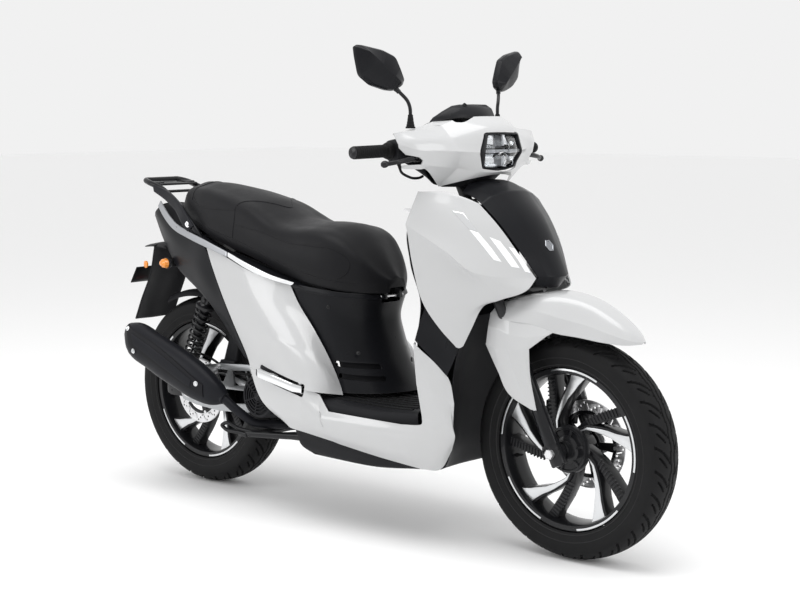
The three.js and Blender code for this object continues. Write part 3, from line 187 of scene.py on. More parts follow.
def panel(name, grid, hidden, wall=3.0, edge=0.9):
    """A moulded panel of even wall under a grid of outer points. hidden is a point behind it."""
    grid = np.asarray(grid, float)
    n, m = grid.shape[:2]
    along = np.gradient(grid, axis=0)
    across = np.gradient(grid, axis=1)
    normal = np.cross(along, across)
    normal /= np.maximum(np.linalg.norm(normal, axis=-1, keepdims=True), 1e-9)
    toward = np.asarray(hidden, float) - grid
    facing = np.sign((normal * toward).sum(-1, keepdims=True))
    if abs(facing.mean()) > 0.5:
        facing[:] = np.sign(facing.mean())
    inner = grid + normal * facing * wall
    vertices = np.concatenate([grid.reshape(-1, 3), inner.reshape(-1, 3)])
    base = n * m
    faces = []
    for i in range(n - 1):
        for j in range(m - 1):
            a, b, c, d = i * m + j, (i + 1) * m + j, (i + 1) * m + j + 1, i * m + j + 1
            faces.append((a, b, c, d))
            faces.append((base + a, base + d, base + c, base + b))
    for j in range(m - 1):
        faces.append((j, j + 1, base + j + 1, base + j))
        k = (n - 1) * m + j
        faces.append((k + 1, k, base + k, base + k + 1))
    for i in range(n - 1):
        a, b = i * m, (i + 1) * m
        faces.append((b, a, base + a, base + b))
        a, b = a + m - 1, b + m - 1
        faces.append((a, b, base + b, base + a))
    obj = new_object(name, place(vertices), faces)
    if edge:
        rounded(obj, edge, 2, 50)
    return settle(obj)


def loft(name, rings, ends=True, sharp=34, bevel=0):
    """A body through closed rings with the same number of points."""
    rings = np.asarray(rings, float)
    n, m = rings.shape[:2]
    vertices = list(rings.reshape(-1, 3))
    faces = []
    for i in range(n - 1):
        for j in range(m):
            k = (j + 1) % m
            faces.append((i * m + j, i * m + k, (i + 1) * m + k, (i + 1) * m + j))
    if ends:
        faces.append(tuple(range(m))[::-1])
        faces.append(tuple((n - 1) * m + j for j in range(m)))
    obj = new_object(name, place(vertices), faces)
    if bevel:
        rounded(obj, bevel, 2, 40)
    return settle(obj, sharp)


def frames_along(path):
    """A sideways and an upward direction at each point of a path, turning as little as possible."""
    tangents = np.gradient(path, axis=0)
    tangents /= np.linalg.norm(tangents, axis=1, keepdims=True)
    start = np.array([0, 0, 1.0]) if abs(tangents[0][2]) < 0.9 else np.array([0, 1.0, 0])
    side = np.cross(tangents[0], start)
    side /= np.linalg.norm(side)
    sides = []
    for tangent in tangents:
        side = side - tangent * side.dot(tangent)
        side /= np.linalg.norm(side)
        sides.append(side.copy())
    sides = np.array(sides)
    return sides, np.cross(tangents, sides)


def tube(name, points, radius, sides=14, steps=8, smooth=True, flat=1.0):
    """A round bar along a smooth curve. radius may be a list of [share of the length, radius]."""
    path = spline(points, steps) if smooth else np.asarray(points, float)
    share = np.concatenate([[0], np.cumsum(np.linalg.norm(np.diff(path, axis=0), axis=1))])
    share /= share[-1]
    if isinstance(radius, (int, float)):
        radii = np.full(len(path), float(radius))
    else:
        radii = np.interp(share, [a for a, _ in radius], [b for _, b in radius])
    side, up = frames_along(path)
    angles = np.arange(sides) * 2 * math.pi / sides
    ring = np.cos(angles)[None, :, None] * side[:, None] + flat * np.sin(angles)[None, :, None] * up[:,
    None]
    return loft(name, path[:, None] + radii[:, None, None] * ring)


def turned(name, start, end, profile, sides=32):
    """A turned piece. profile holds [distance from start, radius]; radius 0 closes it."""
    start, end = np.asarray(start, float), np.asarray(end, float)
    axis = (end - start) / np.linalg.norm(end - start)
    helper = np.array([0, 0, 1.0]) if abs(axis[2]) < 0.9 else np.array([1.0, 0, 0])
    u = np.cross(axis, helper)
    u /= np.linalg.norm(u)
    v = np.cross(axis, u)
    angles = np.arange(sides) * 2 * math.pi / sides
    rings = []
    for distance, radius in profile:
        centre = start + axis * distance
        rings.append([centre + max(radius, 0.01) * (math.cos(a) * u + math.sin(a) * v) for a in angles])
    closed_ring = abs(profile[0][0] - profile[-1][0]) < 1e-6 and abs(profile[0][1] - profile[-1][1]) < 1e-6
    return loft(name, rings, ends=not closed_ring, sharp=30)


def slab(name, outlines, y_low, y_high, edge=0.8, sharp=34):
    """A flat plate with rounded edges. outlines are XZ polygons: the outer one, then its holes."""
    curve = bpy.data.curves.new(name, "CURVE")
    curve.dimensions = "2D"
    curve.fill_mode = "BOTH"
    thick = (y_high - y_low) / 2
    edge = min(edge, thick * 0.9)
    curve.extrude = (thick - edge) / 1000
    curve.bevel_depth = edge / 1000
    curve.bevel_resolution = 1
    curve.offset = -edge / 1000
    for outline in outlines:
        line = curve.splines.new("POLY")
        line.points.add(len(outline) - 1)
        for point, (x, z) in zip(line.points, outline):
            point.co = (x / 1000, z / 1000, 0, 1)
        line.use_cyclic_u = True
    holder = bpy.data.objects.new(name + "_outline", curve)
    bpy.context.scene.collection.objects.link(holder)
    mesh = bpy.data.meshes.new_from_object(holder.evaluated_get(bpy.context.evaluated_depsgraph_get()))
    bpy.data.objects.remove(holder)
    middle = (y_low + y_high) / 2000
    for vertex in mesh.vertices:
        x, z, y = vertex.co
        vertex.co = (x + rear_axle_x, middle - y, z)
    obj = bpy.data.objects.new(name, mesh)
    bpy.context.scene.collection.objects.link(obj)
    return settle(obj, sharp)


def brick(name, low, high, edge=1.0, lean=None):
    """A block with rounded edges. lean is [angle, axis, point] to turn it about."""
    low, high = np.asarray(low, float), np.asarray(high, float)
    corners = [
        [(low, high)[i][0], (low, high)[j][1], (low, high)[k][2]] for i in (0, 1) for j in (0,
         1) for k in (0, 1)
    ]
    faces = [(0, 1, 3, 2), (4, 6, 7, 5), (0, 4, 5, 1), (2, 3, 7, 6), (0, 2, 6, 4), (1, 5, 7, 3)]
    obj = new_object(name, place(corners), faces)
    if lean:
        angle, axis, point = lean
        centre = Vector(place(point))
        turn = Matrix.Translation(centre) @ Matrix.Rotation(angle, 4, axis) @ Matrix.Translation(-centre)
        obj.data.transform(turn)
    return settle(rounded(obj, edge, 2))


def fuse(name, objects):
    """Several objects as one mesh."""
    work = bmesh.new()
    for obj in objects:
        work.from_mesh(obj.data)
    mesh = bpy.data.meshes.new(name)
    work.to_mesh(mesh)
    work.free()
    for obj in objects:
        old = obj.data
        bpy.data.objects.remove(obj)
        bpy.data.meshes.remove(old)
    fused = bpy.data.objects.new(name, mesh)
    bpy.context.scene.collection.objects.link(fused)
    mesh.shade_smooth()
    mesh.set_sharp_from_angle(angle=math.radians(34))
    return fused


def mirrored_copy(obj, name):
    mesh = obj.data.copy()
    mesh.transform(Matrix.Scale(-1, 4, (0, 1, 0)))
    mesh.flip_normals()
    copy = bpy.data.objects.new(name, mesh)
    bpy.context.scene.collection.objects.link(copy)
    return copy


def laid_on(name, base, corners, lift=0.5, wall=1.2, steps=(4, 14), direction=(0, 1, 0)):
    """A thin plate that lies on the surface of base. corners are two edges as lists of [x, z] or [x, y, z]."""
    tree = BVHTree.FromObject(base, bpy.context.evaluated_depsgraph_get())
    first, second = (spline(edge, steps[1]) for edge in corners)
    aim = Vector(direction)
    grid = []
    for share in np.linspace(0, 1, steps[0] + 1):
        row = []
        for a, b in zip(first, second):
            point = a * (1 - share) + b * share
            if len(point) == 2:
                point = np.array([point[0], 0, point[1]])
            start = Vector(place(point)) - aim * 0.6
            hit, normal, _, _ = tree.ray_cast(start, aim)
            if hit is None:
                hit, normal, _, _ = tree.find_nearest(Vector(place(point)))
            if normal.dot(aim) > 0:
                normal = -normal
            row.append(
                (np.array(hit) + np.array(normal) * lift / 1000 - np.array([rear_axle_x, 0, 0])) * 1000
            )
        grid.append(row)
    grid = np.array(grid)
    behind = grid.mean((0, 1)) + np.array(direction) * 500
    return panel(name, grid, behind, wall, 0.3)


# ---------------------------------------------------------------- materials

looks = {}


def look(
    name, slot, color, rough, metal=0.0, grain=None, blotch=0.12, coat=0.0, rough_swing=0.06, wear=0.0,
    **sockets
):
    """A procedural finish. grain is [kind, scale, height in mm]; scales are per metre."""
    material = bpy.data.materials.new(name)
    material.use_nodes = True
    nodes, links = material.node_tree.nodes, material.node_tree.links
    shader = nodes["Principled BSDF"]
    shader.inputs["Metallic"].default_value = metal
    shader.inputs["Coat Weight"].default_value = coat
    shader.inputs["Coat Roughness"].default_value = 0.04
    for key, value in sockets.items():
        shader.inputs[key.replace("_", " ")].default_value = value
    where = nodes.new("ShaderNodeTexCoord")
    cloud = nodes.new("ShaderNodeTexNoise")
    cloud.inputs["Scale"].default_value = 9.0
    cloud.inputs["Detail"].default_value = 5.0
    links.new(where.outputs["Object"], cloud.inputs["Vector"])
    tint = nodes.new("ShaderNodeMix")
    tint.data_type = "RGBA"
    dark = [c * (1 - blotch) for c in color]
    light = [min(1.0, c * (1 + blotch)) for c in color]
    tint.inputs["A"].default_value = (*dark, 1)
    tint.inputs["B"].default_value = (*light, 1)
    links.new(cloud.outputs["Fac"], tint.inputs["Factor"])
    result = tint.outputs["Result"]
    if wear:
        shape = nodes.new("ShaderNodeNewGeometry")
        edge = nodes.new("ShaderNodeMapRange")
        edge.inputs["From Min"].default_value = 0.53
        edge.inputs["From Max"].default_value = 0.62
        edge.inputs["To Max"].default_value = wear
        links.new(shape.outputs["Pointiness"], edge.inputs["Value"])
        rubbed = nodes.new("ShaderNodeMix")
        rubbed.data_type = "RGBA"
        rubbed.inputs["B"].default_value = (*[min(1.0, c * 1.6 + 0.05) for c in color], 1)
        links.new(edge.outputs["Result"], rubbed.inputs["Factor"])
        links.new(result, rubbed.inputs["A"])
        result = rubbed.outputs["Result"]
    links.new(result, shader.inputs["Base Color"])
    smear = nodes.new("ShaderNodeTexNoise")
    smear.inputs["Scale"].default_value = 34.0
    smear.inputs["Detail"].default_value = 6.0
    links.new(where.outputs["Object"], smear.inputs["Vector"])
    swing = nodes.new("ShaderNodeMapRange")
    swing.inputs["To Min"].default_value = max(0.01, rough - rough_swing)
    swing.inputs["To Max"].default_value = min(1.0, rough + rough_swing)
    links.new(smear.outputs["Fac"], swing.inputs["Value"])
    links.new(swing.outputs["Result"], shader.inputs["Roughness"])
    if grain:
        kind, scale, height = grain
        if kind == "cells":
            texture = nodes.new("ShaderNodeTexVoronoi")
            texture.feature = "DISTANCE_TO_EDGE"
            output = "Distance"
        elif kind == "brushed":
            texture = nodes.new("ShaderNodeTexNoise")
            output = "Fac"
        else:
            texture = nodes.new("ShaderNodeTexNoise")
            texture.inputs["Detail"].default_value = 3.0
            output = "Fac"
        texture.inputs["Scale"].default_value = scale
        if kind == "brushed":
            stretch = nodes.new("ShaderNodeMapping")
            stretch.inputs["Scale"].default_value = (1.0, 0.04, 1.0)
            links.new(where.outputs["Object"], stretch.inputs["Vector"])
            links.new(stretch.outputs["Vector"], texture.inputs["Vector"])
        else:
            links.new(where.outputs["Object"], texture.inputs["Vector"])
        bump = nodes.new("ShaderNodeBump")
        bump.inputs["Strength"].default_value = 1.0
        bump.inputs["Distance"].default_value = height / 1000
        links.new(texture.outputs[output], bump.inputs["Height"])
        links.new(bump.outputs["Normal"], shader.inputs["Normal"])
    looks[name] = (material, slot)
    return material


look(
    "white", "white_panel", (0.5, 0.504, 0.508), 0.3, grain=("noise", 420, 0.012), blotch=0.012, coat=0.7,
    rough_swing=0.03
)
look(
    "black", "black_panel", (0.0085, 0.0088, 0.0105), 0.3, grain=("noise", 1500, 0.02), blotch=0.15,
    wear=0.35, Specular_IOR_Level=0.13
)
look(
    "moulding", "black_moulding", (0.0105, 0.0107, 0.0125), 0.52, grain=("cells", 1300, 0.06), blotch=0.2,
    wear=0.3, Specular_IOR_Level=0.13
)
look(
    "vinyl", "seat_vinyl", (0.0095, 0.0095, 0.0108), 0.46, grain=("cells", 620, 0.1), blotch=0.14,
    rough_swing=0.08, Specular_IOR_Level=0.13
)
look(
    "tyre", "tyre_rubber", (0.009, 0.009, 0.0095), 0.55, grain=("noise", 900, 0.08), blotch=0.25,
    rough_swing=0.1, wear=0.3, Specular_IOR_Level=0.13
)
look(
    "rubber", "grip_rubber", (0.009, 0.009, 0.0095), 0.6, grain=("noise", 1400, 0.05), blotch=0.2,
    Specular_IOR_Level=0.13
)
look(
    "black_metal", "black_metal", (0.008, 0.0082, 0.0095), 0.3, grain=("noise", 800, 0.02), blotch=0.2,
    wear=0.4, coat=0.25, Specular_IOR_Level=0.13
)
look(
    "muffler_black", "black_metal", (0.011, 0.0115, 0.0145), 0.42, grain=("noise", 1300, 0.03),
    blotch=0.15, wear=0.3, Specular_IOR_Level=0.13
)
look("alloy", "cast_alloy", (0.42, 0.43, 0.44), 0.44, 1.0, grain=("noise", 700, 0.08), blotch=0.14)
look("machined", "cast_alloy", (0.66, 0.67, 0.68), 0.3, 1.0, grain=("brushed", 1500, 0.01), blotch=0.06)
look("steel", "steel", (0.72, 0.72, 0.73), 0.3, 0.85, grain=("brushed", 1100, 0.015), blotch=0.1)
look("trim", "bright_trim", (0.85, 0.86, 0.87), 0.22, 0.5, grain=("noise", 900, 0.006), blotch=0.05)
look("trim_grey", "bright_trim", (0.40, 0.41, 0.43), 0.34, 0.7, grain=("noise", 900, 0.006), blotch=0.05)
look(
    "chrome", "bright_trim", (0.78, 0.79, 0.8), 0.08, 1.0, grain=("noise", 300, 0.004), blotch=0.03,
    rough_swing=0.03
)
look(
    "reflector", "bright_trim", (0.85, 0.86, 0.87), 0.12, 1.0, grain=("noise", 160, 0.03), blotch=0.04,
    rough_swing=0.04
)
look("light_bar", "lamp_lens", (0.9, 0.91, 0.92), 0.16, grain=("noise", 600, 0.01), blotch=0.02, coat=0.8)
look("amber", "amber_lens", (0.8, 0.26, 0.015), 0.16, grain=("cells", 420, 0.12), blotch=0.1, coat=0.6)
look("red", "tail_lens", (0.42, 0.008, 0.012), 0.14, grain=("cells", 360, 0.12), blotch=0.1, coat=0.6)
look(
    "mirror", "mirror_glass", (0.8, 0.82, 0.84), 0.02, 1.0, grain=("noise", 60, 0.002), blotch=0.02,
    rough_swing=0.01
)
look(
    "screen", "black_panel", (0.01, 0.012, 0.016), 0.09, grain=("noise", 200, 0.004), blotch=0.2, coat=0.9
)
look("clear", "lamp_lens", (0.96, 0.97, 0.98), 0.03, grain=("noise", 200, 0.004), blotch=0.01,
rough_swing=0.01,
     Transmission_Weight=1.0, IOR=1.25)
look("badge", "bright_trim", (0.3, 0.31, 0.33), 0.25, 0.9, grain=("noise", 900, 0.01), blotch=0.05)


def piece(obj, look_name, body, *replaced):
    material, slot_name = looks[look_name]
    obj.data.materials.clear()
    obj.data.materials.append(material)
    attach(obj, body)
    if replaced:
        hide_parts(*replaced)
    return obj


def pair(obj, look_name, body, *replaced):
    """A right piece, whose name ends in _right, and its reflection on the left."""
    left = mirrored_copy(obj, obj.name.replace("_right", "_left"))
    piece(obj, look_name, body, *replaced)
    piece(
        left, look_name, body.replace("_right", "_left"), *[
            n.replace("_right", "_left") for n in replaced
        ]
    )
    return obj, left


def finish_node(node, look_name):
    """A CAD node that keeps its shape and gets a finish."""
    material, _ = looks[look_name]
    obj = frame["nodes"][node]
    obj.data.materials.clear()
    obj.data.materials.append(material)


def bolt(name, at, direction, radius=5.0, height=4.0, washer=1.5):
    """A socket-head or hexagon bolt head with its washer, standing on a surface."""
    at, direction = np.asarray(at, float), np.asarray(direction, float)
    direction = direction / np.linalg.norm(direction)
    base = turned(
        name + "_washer", at, at + direction, [
            (0, 0), (0, radius * 1.4), (washer, radius * 1.35), (washer, 0)
        ], 20
    )
    head = turned(
        name + "_head", at, at + direction,
        [(washer, 0), (washer, radius), (washer + height - 0.8, radius), (washer + height, radius - 0.8),
         (washer + height, radius * 0.55), (washer + height * 0.45, radius * 0.5),
          (washer + height * 0.45, 0)], 6,
    )
    return fuse(name, [base, head])


# ---------------------------------------------------------------- camera and stage

camera = bpy.data.objects.new("camera", bpy.data.cameras.new("camera"))
bpy.context.scene.collection.objects.link(camera)
camera.data.lens = 72.9
camera.data.clip_end = 60
camera.location = place([3605.7, -3304.1, 1125.7])
yaw, pitch = math.radians(40.862), math.radians(6.767)
sight = Vector((-math.sin(yaw) * math.cos(pitch), math.cos(yaw) * math.cos(pitch), -math.sin(pitch)))
camera.rotation_euler = sight.to_track_quat("-Z", "Y").to_euler()
bpy.context.scene.camera = camera


def lamp(name, at, aim, size, power, colour=(1, 1, 1)):
    data = bpy.data.lights.new(name, "AREA")
    data.shape = "RECTANGLE"
    data.size, data.size_y = size
    data.energy = power
    data.color = colour
    obj = bpy.data.objects.new(name, data)
    bpy.context.scene.collection.objects.link(obj)
    obj.location = at
    obj.rotation_euler = (Vector(aim) - Vector(at)).to_track_quat("-Z", "Y").to_euler()


def build_stage():
    bpy.context.scene.view_settings.view_transform = "Standard"
    world = bpy.data.worlds.new("studio")
    bpy.context.scene.world = world
    world.use_nodes = True
    world.node_tree.nodes["Background"].inputs["Color"].default_value = (1, 1, 1, 1)
    world.node_tree.nodes["Background"].inputs["Strength"].default_value = 0.88
    lamp("top_light", (0.3, -0.6, 3.4), (0.1, 0, 0.4), (3.2, 2.0), 62)
    lamp("side_light", (-2.6, -3.4, 2.0), (0, 0, 0.6), (2.4, 1.6), 30)
    lamp("front_light", (4.4, 0.6, 1.9), (0.6, 0, 0.7), (1.4, 2.2), 26)
    floor = new_object("floor", [(-30, -30, 0), (30, -30, 0), (30, 30, 0), (-30, 30, 0)], [(0, 1, 2, 3)])
    material = bpy.data.materials.new("floor")
    material.use_nodes = True
    shader = material.node_tree.nodes["Principled BSDF"]
    shader.inputs["Base Color"].default_value = (0.97, 0.97, 0.97, 1)
    shader.inputs["Roughness"].default_value = 0.7
    floor.data.materials.append(material)


build_stage()


# ---------------------------------------------------------------- front body

nose_side = [[1121, -124, 889], [1172, -110, 836], [1218, -92, 772], [1257, -68, 708]]


def build_apron():
    right = panel(
        "apron_panel_right",
        surface(
            [
                [[985, -206, 918], [1036, -162, 917], [1085, -142, 903], [1117, -127, 889]],
                [[982, -226, 880], [1044, -192, 868], [1112, -158, 838], [1169, -113, 834]],
                [[979, -243, 846], [1058, -206, 806], [1142, -158, 770], [1215, -95, 770]],
                [[980, -248, 836], [1072, -211, 776], [1150, -171, 717], [1253, -70, 706]],
                [[985, -248, 820], [1080, -200, 750], [1165, -152, 690], [1246, -92, 681]],
                [[995, -240, 740], [1072, -200, 690], [1138, -156, 656], [1184, -124, 652]],
                [[1018, -225, 640], [1062, -196, 618], [1102, -162, 604], [1132, -132, 628]],
                [[1052, -200, 576], [1072, -186, 568], [1096, -166, 562], [1112, -146, 578]],
                [[1086, -176, 530], [1090, -172, 528], [1094, -168, 529], [1098, -163, 533]],
            ],
            (8, 10), ((3,), ()),
        ),
        (1050, 0, 740),
    )
    pair(right, "white", "chassis", "apron_right")
    insert = panel(
        "apron_insert_right",
        surface(
            [
                [[1019, -219, 628], [1055, -193, 576], [1089, -169, 530]],
                [[1006, -226, 585], [1040, -196, 540], [1072, -172, 488]],
                [[996, -231, 545], [1028, -206, 502], [1058, -178, 455]],
            ],
            (8, 8),
        ),
        (1000, 0, 540),
    )
    pair(insert, "black", "chassis")
    bars = [
        ("light_bar_top_right", "chrome", [[1068, 871], [1090, 850], [1112, 828]],
         [[1092, 866], [1112, 844], [1131, 821]]),
        ("light_bar_long_right", "light_bar", [[1114, 826], [1145, 788], [1173, 752]],
         [[1133, 819], [1162, 784], [1188, 747]]),
        ("light_bar_middle_right", "light_bar", [[1156, 808], [1183, 771], [1207, 735]],
         [[1178, 798], [1202, 765], [1222, 732]]),
        ("light_bar_short_right", "light_bar", [[1196, 784], [1216, 753], [1232, 723]],
         [[1208, 780], [1227, 750], [1242, 720]]),
    ]
    for name, look_name, behind, ahead in bars:
        pair(laid_on(name, right, [behind, ahead], 0.7, 1.6, (6, 6)), look_name, "chassis")


def build_nose():
    top, high, low, foot = [[x - 1, y + 3, z + 1] for x, y, z in nose_side]
    cover = panel(
        "nose_cover",
        surface(
            full_width([
                [[1052, -112, 914], [1042, -78, 931], [1036, -42, 941], [1036, 0, 943]],
                [[1090, -114, 904], [1084, -82, 924], [1080, -46, 938], [1080, 0, 941]],
                [top, [1124, -88, 906], [1132, -48, 914], [1136, 0, 917]],
                [high, [1186, -70, 842], [1196, -38, 848], [1200, 0, 850]],
                [low, [1232, -56, 776], [1240, -30, 780], [1243, 0, 781]],
                [foot, [1270, -44, 710], [1278, -24, 708], [1281, 0, 708]],
                [[1240, -58, 690], [1252, -40, 684], [1258, -22, 680], [1260, 0, 679]],
            ]),
            (8, 8), ((2, 5), (1, 5)),
        ),
        (1060, 0, 720),
    )
    piece(cover, "black", "chassis", "nose_panel")
    at, out = np.array([1240.0, 0, 782]), np.array([0.86, 0, 0.5])
    badge = turned(
        "nose_badge", at, at + out, [
            (-3, 0), (-3, 17), (3, 17), (4, 15.5), (4, 13), (2.6, 12), (2.6, 7), (3.6, 5), (3.9, 0)
        ], 6
    )
    piece(badge, "badge", "chassis")


def build_leg_shield():
    shield = panel(
        "leg_shield_lining",
        surface(
            full_width([
                [[968, -183, 882], [935, -150, 868], [888, -92, 874], [860, 0, 866]],
                [[968, -222, 836], [930, -180, 826], [872, -95, 830], [850, 0, 826]],
                [[978, -228, 740], [938, -180, 740], [884, -90, 735], [866, 0, 730]],
                [[1000, -214, 640], [962, -165, 640], [915, -80, 636], [900, 0, 630]],
                [[984, -207, 545], [955, -150, 545], [930, -75, 545], [920, 0, 545]],
                [[984, -200, 440], [962, -140, 440], [942, -70, 440], [934, 0, 440]],
                [[990, -193, 372], [970, -130, 372], [948, -65, 372], [938, 0, 372]],
            ]),
            (8, 8),
        ),
        (1200, 0, 700),
    )
    piece(shield, "moulding", "chassis", "leg_shield")
    hatch = laid_on(
        "leg_shield_hatch", shield,
        [[[0, -74, 730], [0, 0, 728], [0, 74, 730]], [[0, -62, 560], [0, 0, 556], [0, 62, 560]]],
        0.6, 2.6, (10, 6), (1, 0, 0),
    )
    piece(hatch, "moulding", "chassis")
    hook = tube(
        "bag_hook", [(860, 0, 852), (851, 0, 850), (846, 0, 841), (850, 0, 832), (857, 0, 831)], 4.5
    )
    piece(hook, "black_metal", "chassis")
    start = np.array([872.0, -70, 852])
    axis = np.array([-0.976, 0, 0.217])
    lock = turned(
        "ignition_bezel", start, start + axis, [
            (-4, 12.2), (-4, 19), (6, 19), (8, 17.5), (8, 12.2), (-4, 12.2)
        ], 32
    )
    piece(lock, "moulding", "chassis")


def build_belly_and_floor():
    belly = panel(
        "belly_pan_cover",
        surface(
            full_width([
                [[1100, -140, 628], [1046, -104, 602], [1022, 0, 588]],
                [[1099, -139, 596], [1042, -92, 576], [1020, 0, 566]],
                [[1074, -142, 540], [1036, -82, 520], [1016, 0, 510]],
                [[1056, -150, 440], [1022, -80, 430], [1006, 0, 424]],
                [[1056, -158, 330], [1012, -80, 320], [996, 0, 316]],
                [[1046, -150, 250], [1006, -80, 240], [992, 0, 236]],
                [[1014, -134, 204], [985, -80, 196], [975, 0, 194]],
                [[900, -136, 204], [890, -80, 194], [886, 0, 192]],
                [[700, -140, 215], [700, -80, 206], [700, 0, 204]],
                [[585, -142, 232], [585, -80, 224], [585, 0, 222]],
            ]),
            (8, 8),
        ),
        (930, 0, 460),
    )
    piece(belly, "moulding", "chassis", "belly_pan")
    floor = panel(
        "floor_mat",
        surface(
            full_width([
                [[600, -208, 320], [598, -204, 342], [602, -150, 354], [640, -90, 358], [660, 0, 358]],
                [[720, -208, 320], [720, -204, 338], [720, -150, 350], [720, -90, 352], [720, 0, 353]],
                [[860, -208, 319], [860, -204, 336], [860, -150, 348], [860, -90, 350], [860, 0, 350]],
                [[978, -194, 318], [972, -190, 340], [950, -140, 352], [940, -80, 354], [936, 0, 354]],
            ]),
            (8, 8),
        ),
        (800, 0, 100),
    )
    piece(floor, "moulding", "chassis", "floor_board")
    ribs = []
    for y in (-164, -140, -116, -92, -68, -44, -20, 20, 44, 68, 92, 116, 140, 164):
        back = 655 - 0.25 * abs(y)
        front = 915 + 0.12 * abs(y)
        ribs.append(
            laid_on(
                f"rib{y}", floor,
                [[[back, y - 5, 0], [front, y - 5, 0]], [[back, y + 5, 0], [front, y + 5, 0]]],
                2.4, 3.4, (2, 22), (0, 0, -1),
            )
        )
    piece(fuse("floor_ribs", ribs), "rubber", "chassis")


# ---------------------------------------------------------------- side and rear body

skirt_rear = [[126, -138, 727], [152, -146, 686], [209, -156, 595], [258, -164, 527], [334, -172, 416]]


def boolean(obj, other, operation):
    modifier = obj.modifiers.new("cut", "BOOLEAN")
    modifier.operation = operation
    modifier.solver = "MANIFOLD"
    modifier.object = other
    settle(obj)
    bpy.data.objects.remove(other)
    return obj


def build_skirt():
    top, high, middle, low, foot = skirt_rear
    back = panel(
        "skirt_panel_right",
        surface(
            [
                [top, [232, -156, 702], [338, -168, 672], [425, -164, 656], [478, -152, 645]],
                [high, [268, -164, 655], [360, -178, 632], [455, -172, 612], [505, -152, 602]],
                [middle, [312, -176, 576], [426, -194, 565], [535, -182, 540], [572, -152, 524]],
                [low, [356, -184, 510], [482, -206, 508], [590, -190, 480], [622, -150, 456]],
                [foot, [440, -200, 430], [560, -216, 446], [650, -192, 404], [668, -148, 372]],
                [[352, -184, 396], [450, -206, 380], [588, -222, 372], [650, -200, 366],
                 [676, -152, 358]],
            ],
            (8, 8),
        ),
        (400, 0, 500), 3, 0,
    )
    beam = panel(
        "beam",
        surface(
            [
                [[350, -184, 402], [384, -190, 340], [430, -196, 300], [508, -196, 262]],
                [[449, -206, 386], [466, -210, 330], [490, -212, 294], [528, -206, 258]],
                [[590, -221, 380], [590, -226, 330], [590, -222, 280], [586, -204, 251]],
                [[640, -206, 362], [656, -222, 318], [668, -222, 270], [680, -196, 238]],
                [[680, -214, 322], [660, -226, 300], [680, -218, 262], [700, -190, 232]],
                [[800, -218, 322], [810, -226, 296], [820, -214, 252], [830, -184, 216]],
                [[940, -217, 321], [950, -220, 290], [962, -206, 244], [976, -176, 202]],
                [[1006, -216, 330], [1036, -206, 308], [1046, -186, 256], [1030, -160, 212]],
                [[1004, -212, 348], [1058, -194, 336], [1082, -176, 308], [1062, -162, 262]],
                [[986, -212, 430], [1024, -204, 416], [1060, -184, 400], [1078, -174, 386]],
                [[988, -222, 486], [1012, -212, 472], [1044, -190, 452], [1066, -172, 432]],
                [[996, -236, 538], [1012, -222, 518], [1034, -200, 490], [1058, -174, 450]],
            ],
            (8, 8), ((2, 3, 4, 6, 8, 9), ()),
        ),
        (780, 0, 320), 3, 0,
    )
    boolean(back, beam, "UNION")
    slot_cut = brick("slot_cut", (396, -266, 354), (597, -160, 390), 6, [0.163, "Y", (572, -206, 372)])
    boolean(back, slot_cut, "DIFFERENCE")
    pair(back, "white", "chassis", "side_skirt_right")
    slot_lining = brick(
        "peg_recess_right", (400, -197, 356), (594, -186, 388), 2, [0.163, "Y", (572, -206, 372)]
    )
    pair(slot_lining, "moulding", "chassis")
    keel = panel(
        "keel_right",
        surface(
            [
                [[506, -168, 258], [513, -162, 226], [520, -150, 196], [556, -138, 176]],
                [[600, -176, 246], [612, -166, 214], [626, -152, 184], [640, -134, 173]],
                [[760, -172, 222], [768, -164, 200], [776, -152, 180], [782, -134, 173]],
                [[930, -158, 206], [934, -152, 200], [936, -146, 194], [936, -136, 190]],
            ],
            (6, 6),
        ),
        (720, 0, 240), 3,
    )
    pair(keel, "moulding", "chassis")


def strip(name, upper, lower, hidden, wall=4, edge=1.4, steps=14):
    return panel(name, surface([upper, lower], (4, steps)), hidden, wall, edge)


def build_trims():
    grey = strip(
        "tail_trim_right",
        [[-166, -57, 846], [-110, -82, 816], [-60, -99, 791], [40, -129, 766], [126, -147, 748],
         [236, -161, 720]],
        [[-176, -59, 829], [-120, -84, 797], [-68, -101, 771], [40, -132, 746], [126, -150, 729],
         [238, -164, 705]],
        (100, 0, 750),
    )
    pair(grey, "trim_grey", "chassis")
    bright = strip(
        "side_trim_right",
        [[239, -161, 719], [345, -175, 690], [430, -172, 666], [500, -158, 650]],
        [[241, -163, 706], [345, -176, 674], [430, -174, 654], [492, -160, 642]],
        (300, 0, 690),
    )
    pair(bright, "trim", "chassis")


def build_tail():
    middle, low = [[x - 3, y, z] for x, y, z in skirt_rear[2:4]]
    side = panel(
        "tail_side_right",
        surface(
            [
                [[-165, -52, 836], [-190, -54, 815], [-205, -46, 798]],
                [[-64, -92, 775], [-92, -90, 756], [-135, -70, 722]],
                [[40, -118, 750], [15, -116, 706], [-45, -96, 649]],
                [[119, -138, 724], [100, -140, 664], [66, -126, 602]],
                [middle, [190, -152, 572], [150, -142, 556]],
                [low, [238, -160, 516], [212, -150, 506]],
                [[328, -171, 422], [316, -168, 424], [304, -164, 428]],
            ],
            (8, 8),
        ),
        (100, 0, 600),
    )
    pair(side, "black", "chassis", "tail_cover")
    end = panel(
        "tail_end",
        surface(
            full_width([
                [[-162, -54, 835], [-168, -30, 838], [-170, 0, 839]],
                [[-188, -54, 816], [-196, -30, 818], [-198, 0, 818]],
                [[-203, -47, 798], [-211, -28, 796], [-213, 0, 796]],
            ]),
            (8, 8),
        ),
        (-80, 0, 780),
    )
    piece(end, "black", "chassis", "tail_cover")


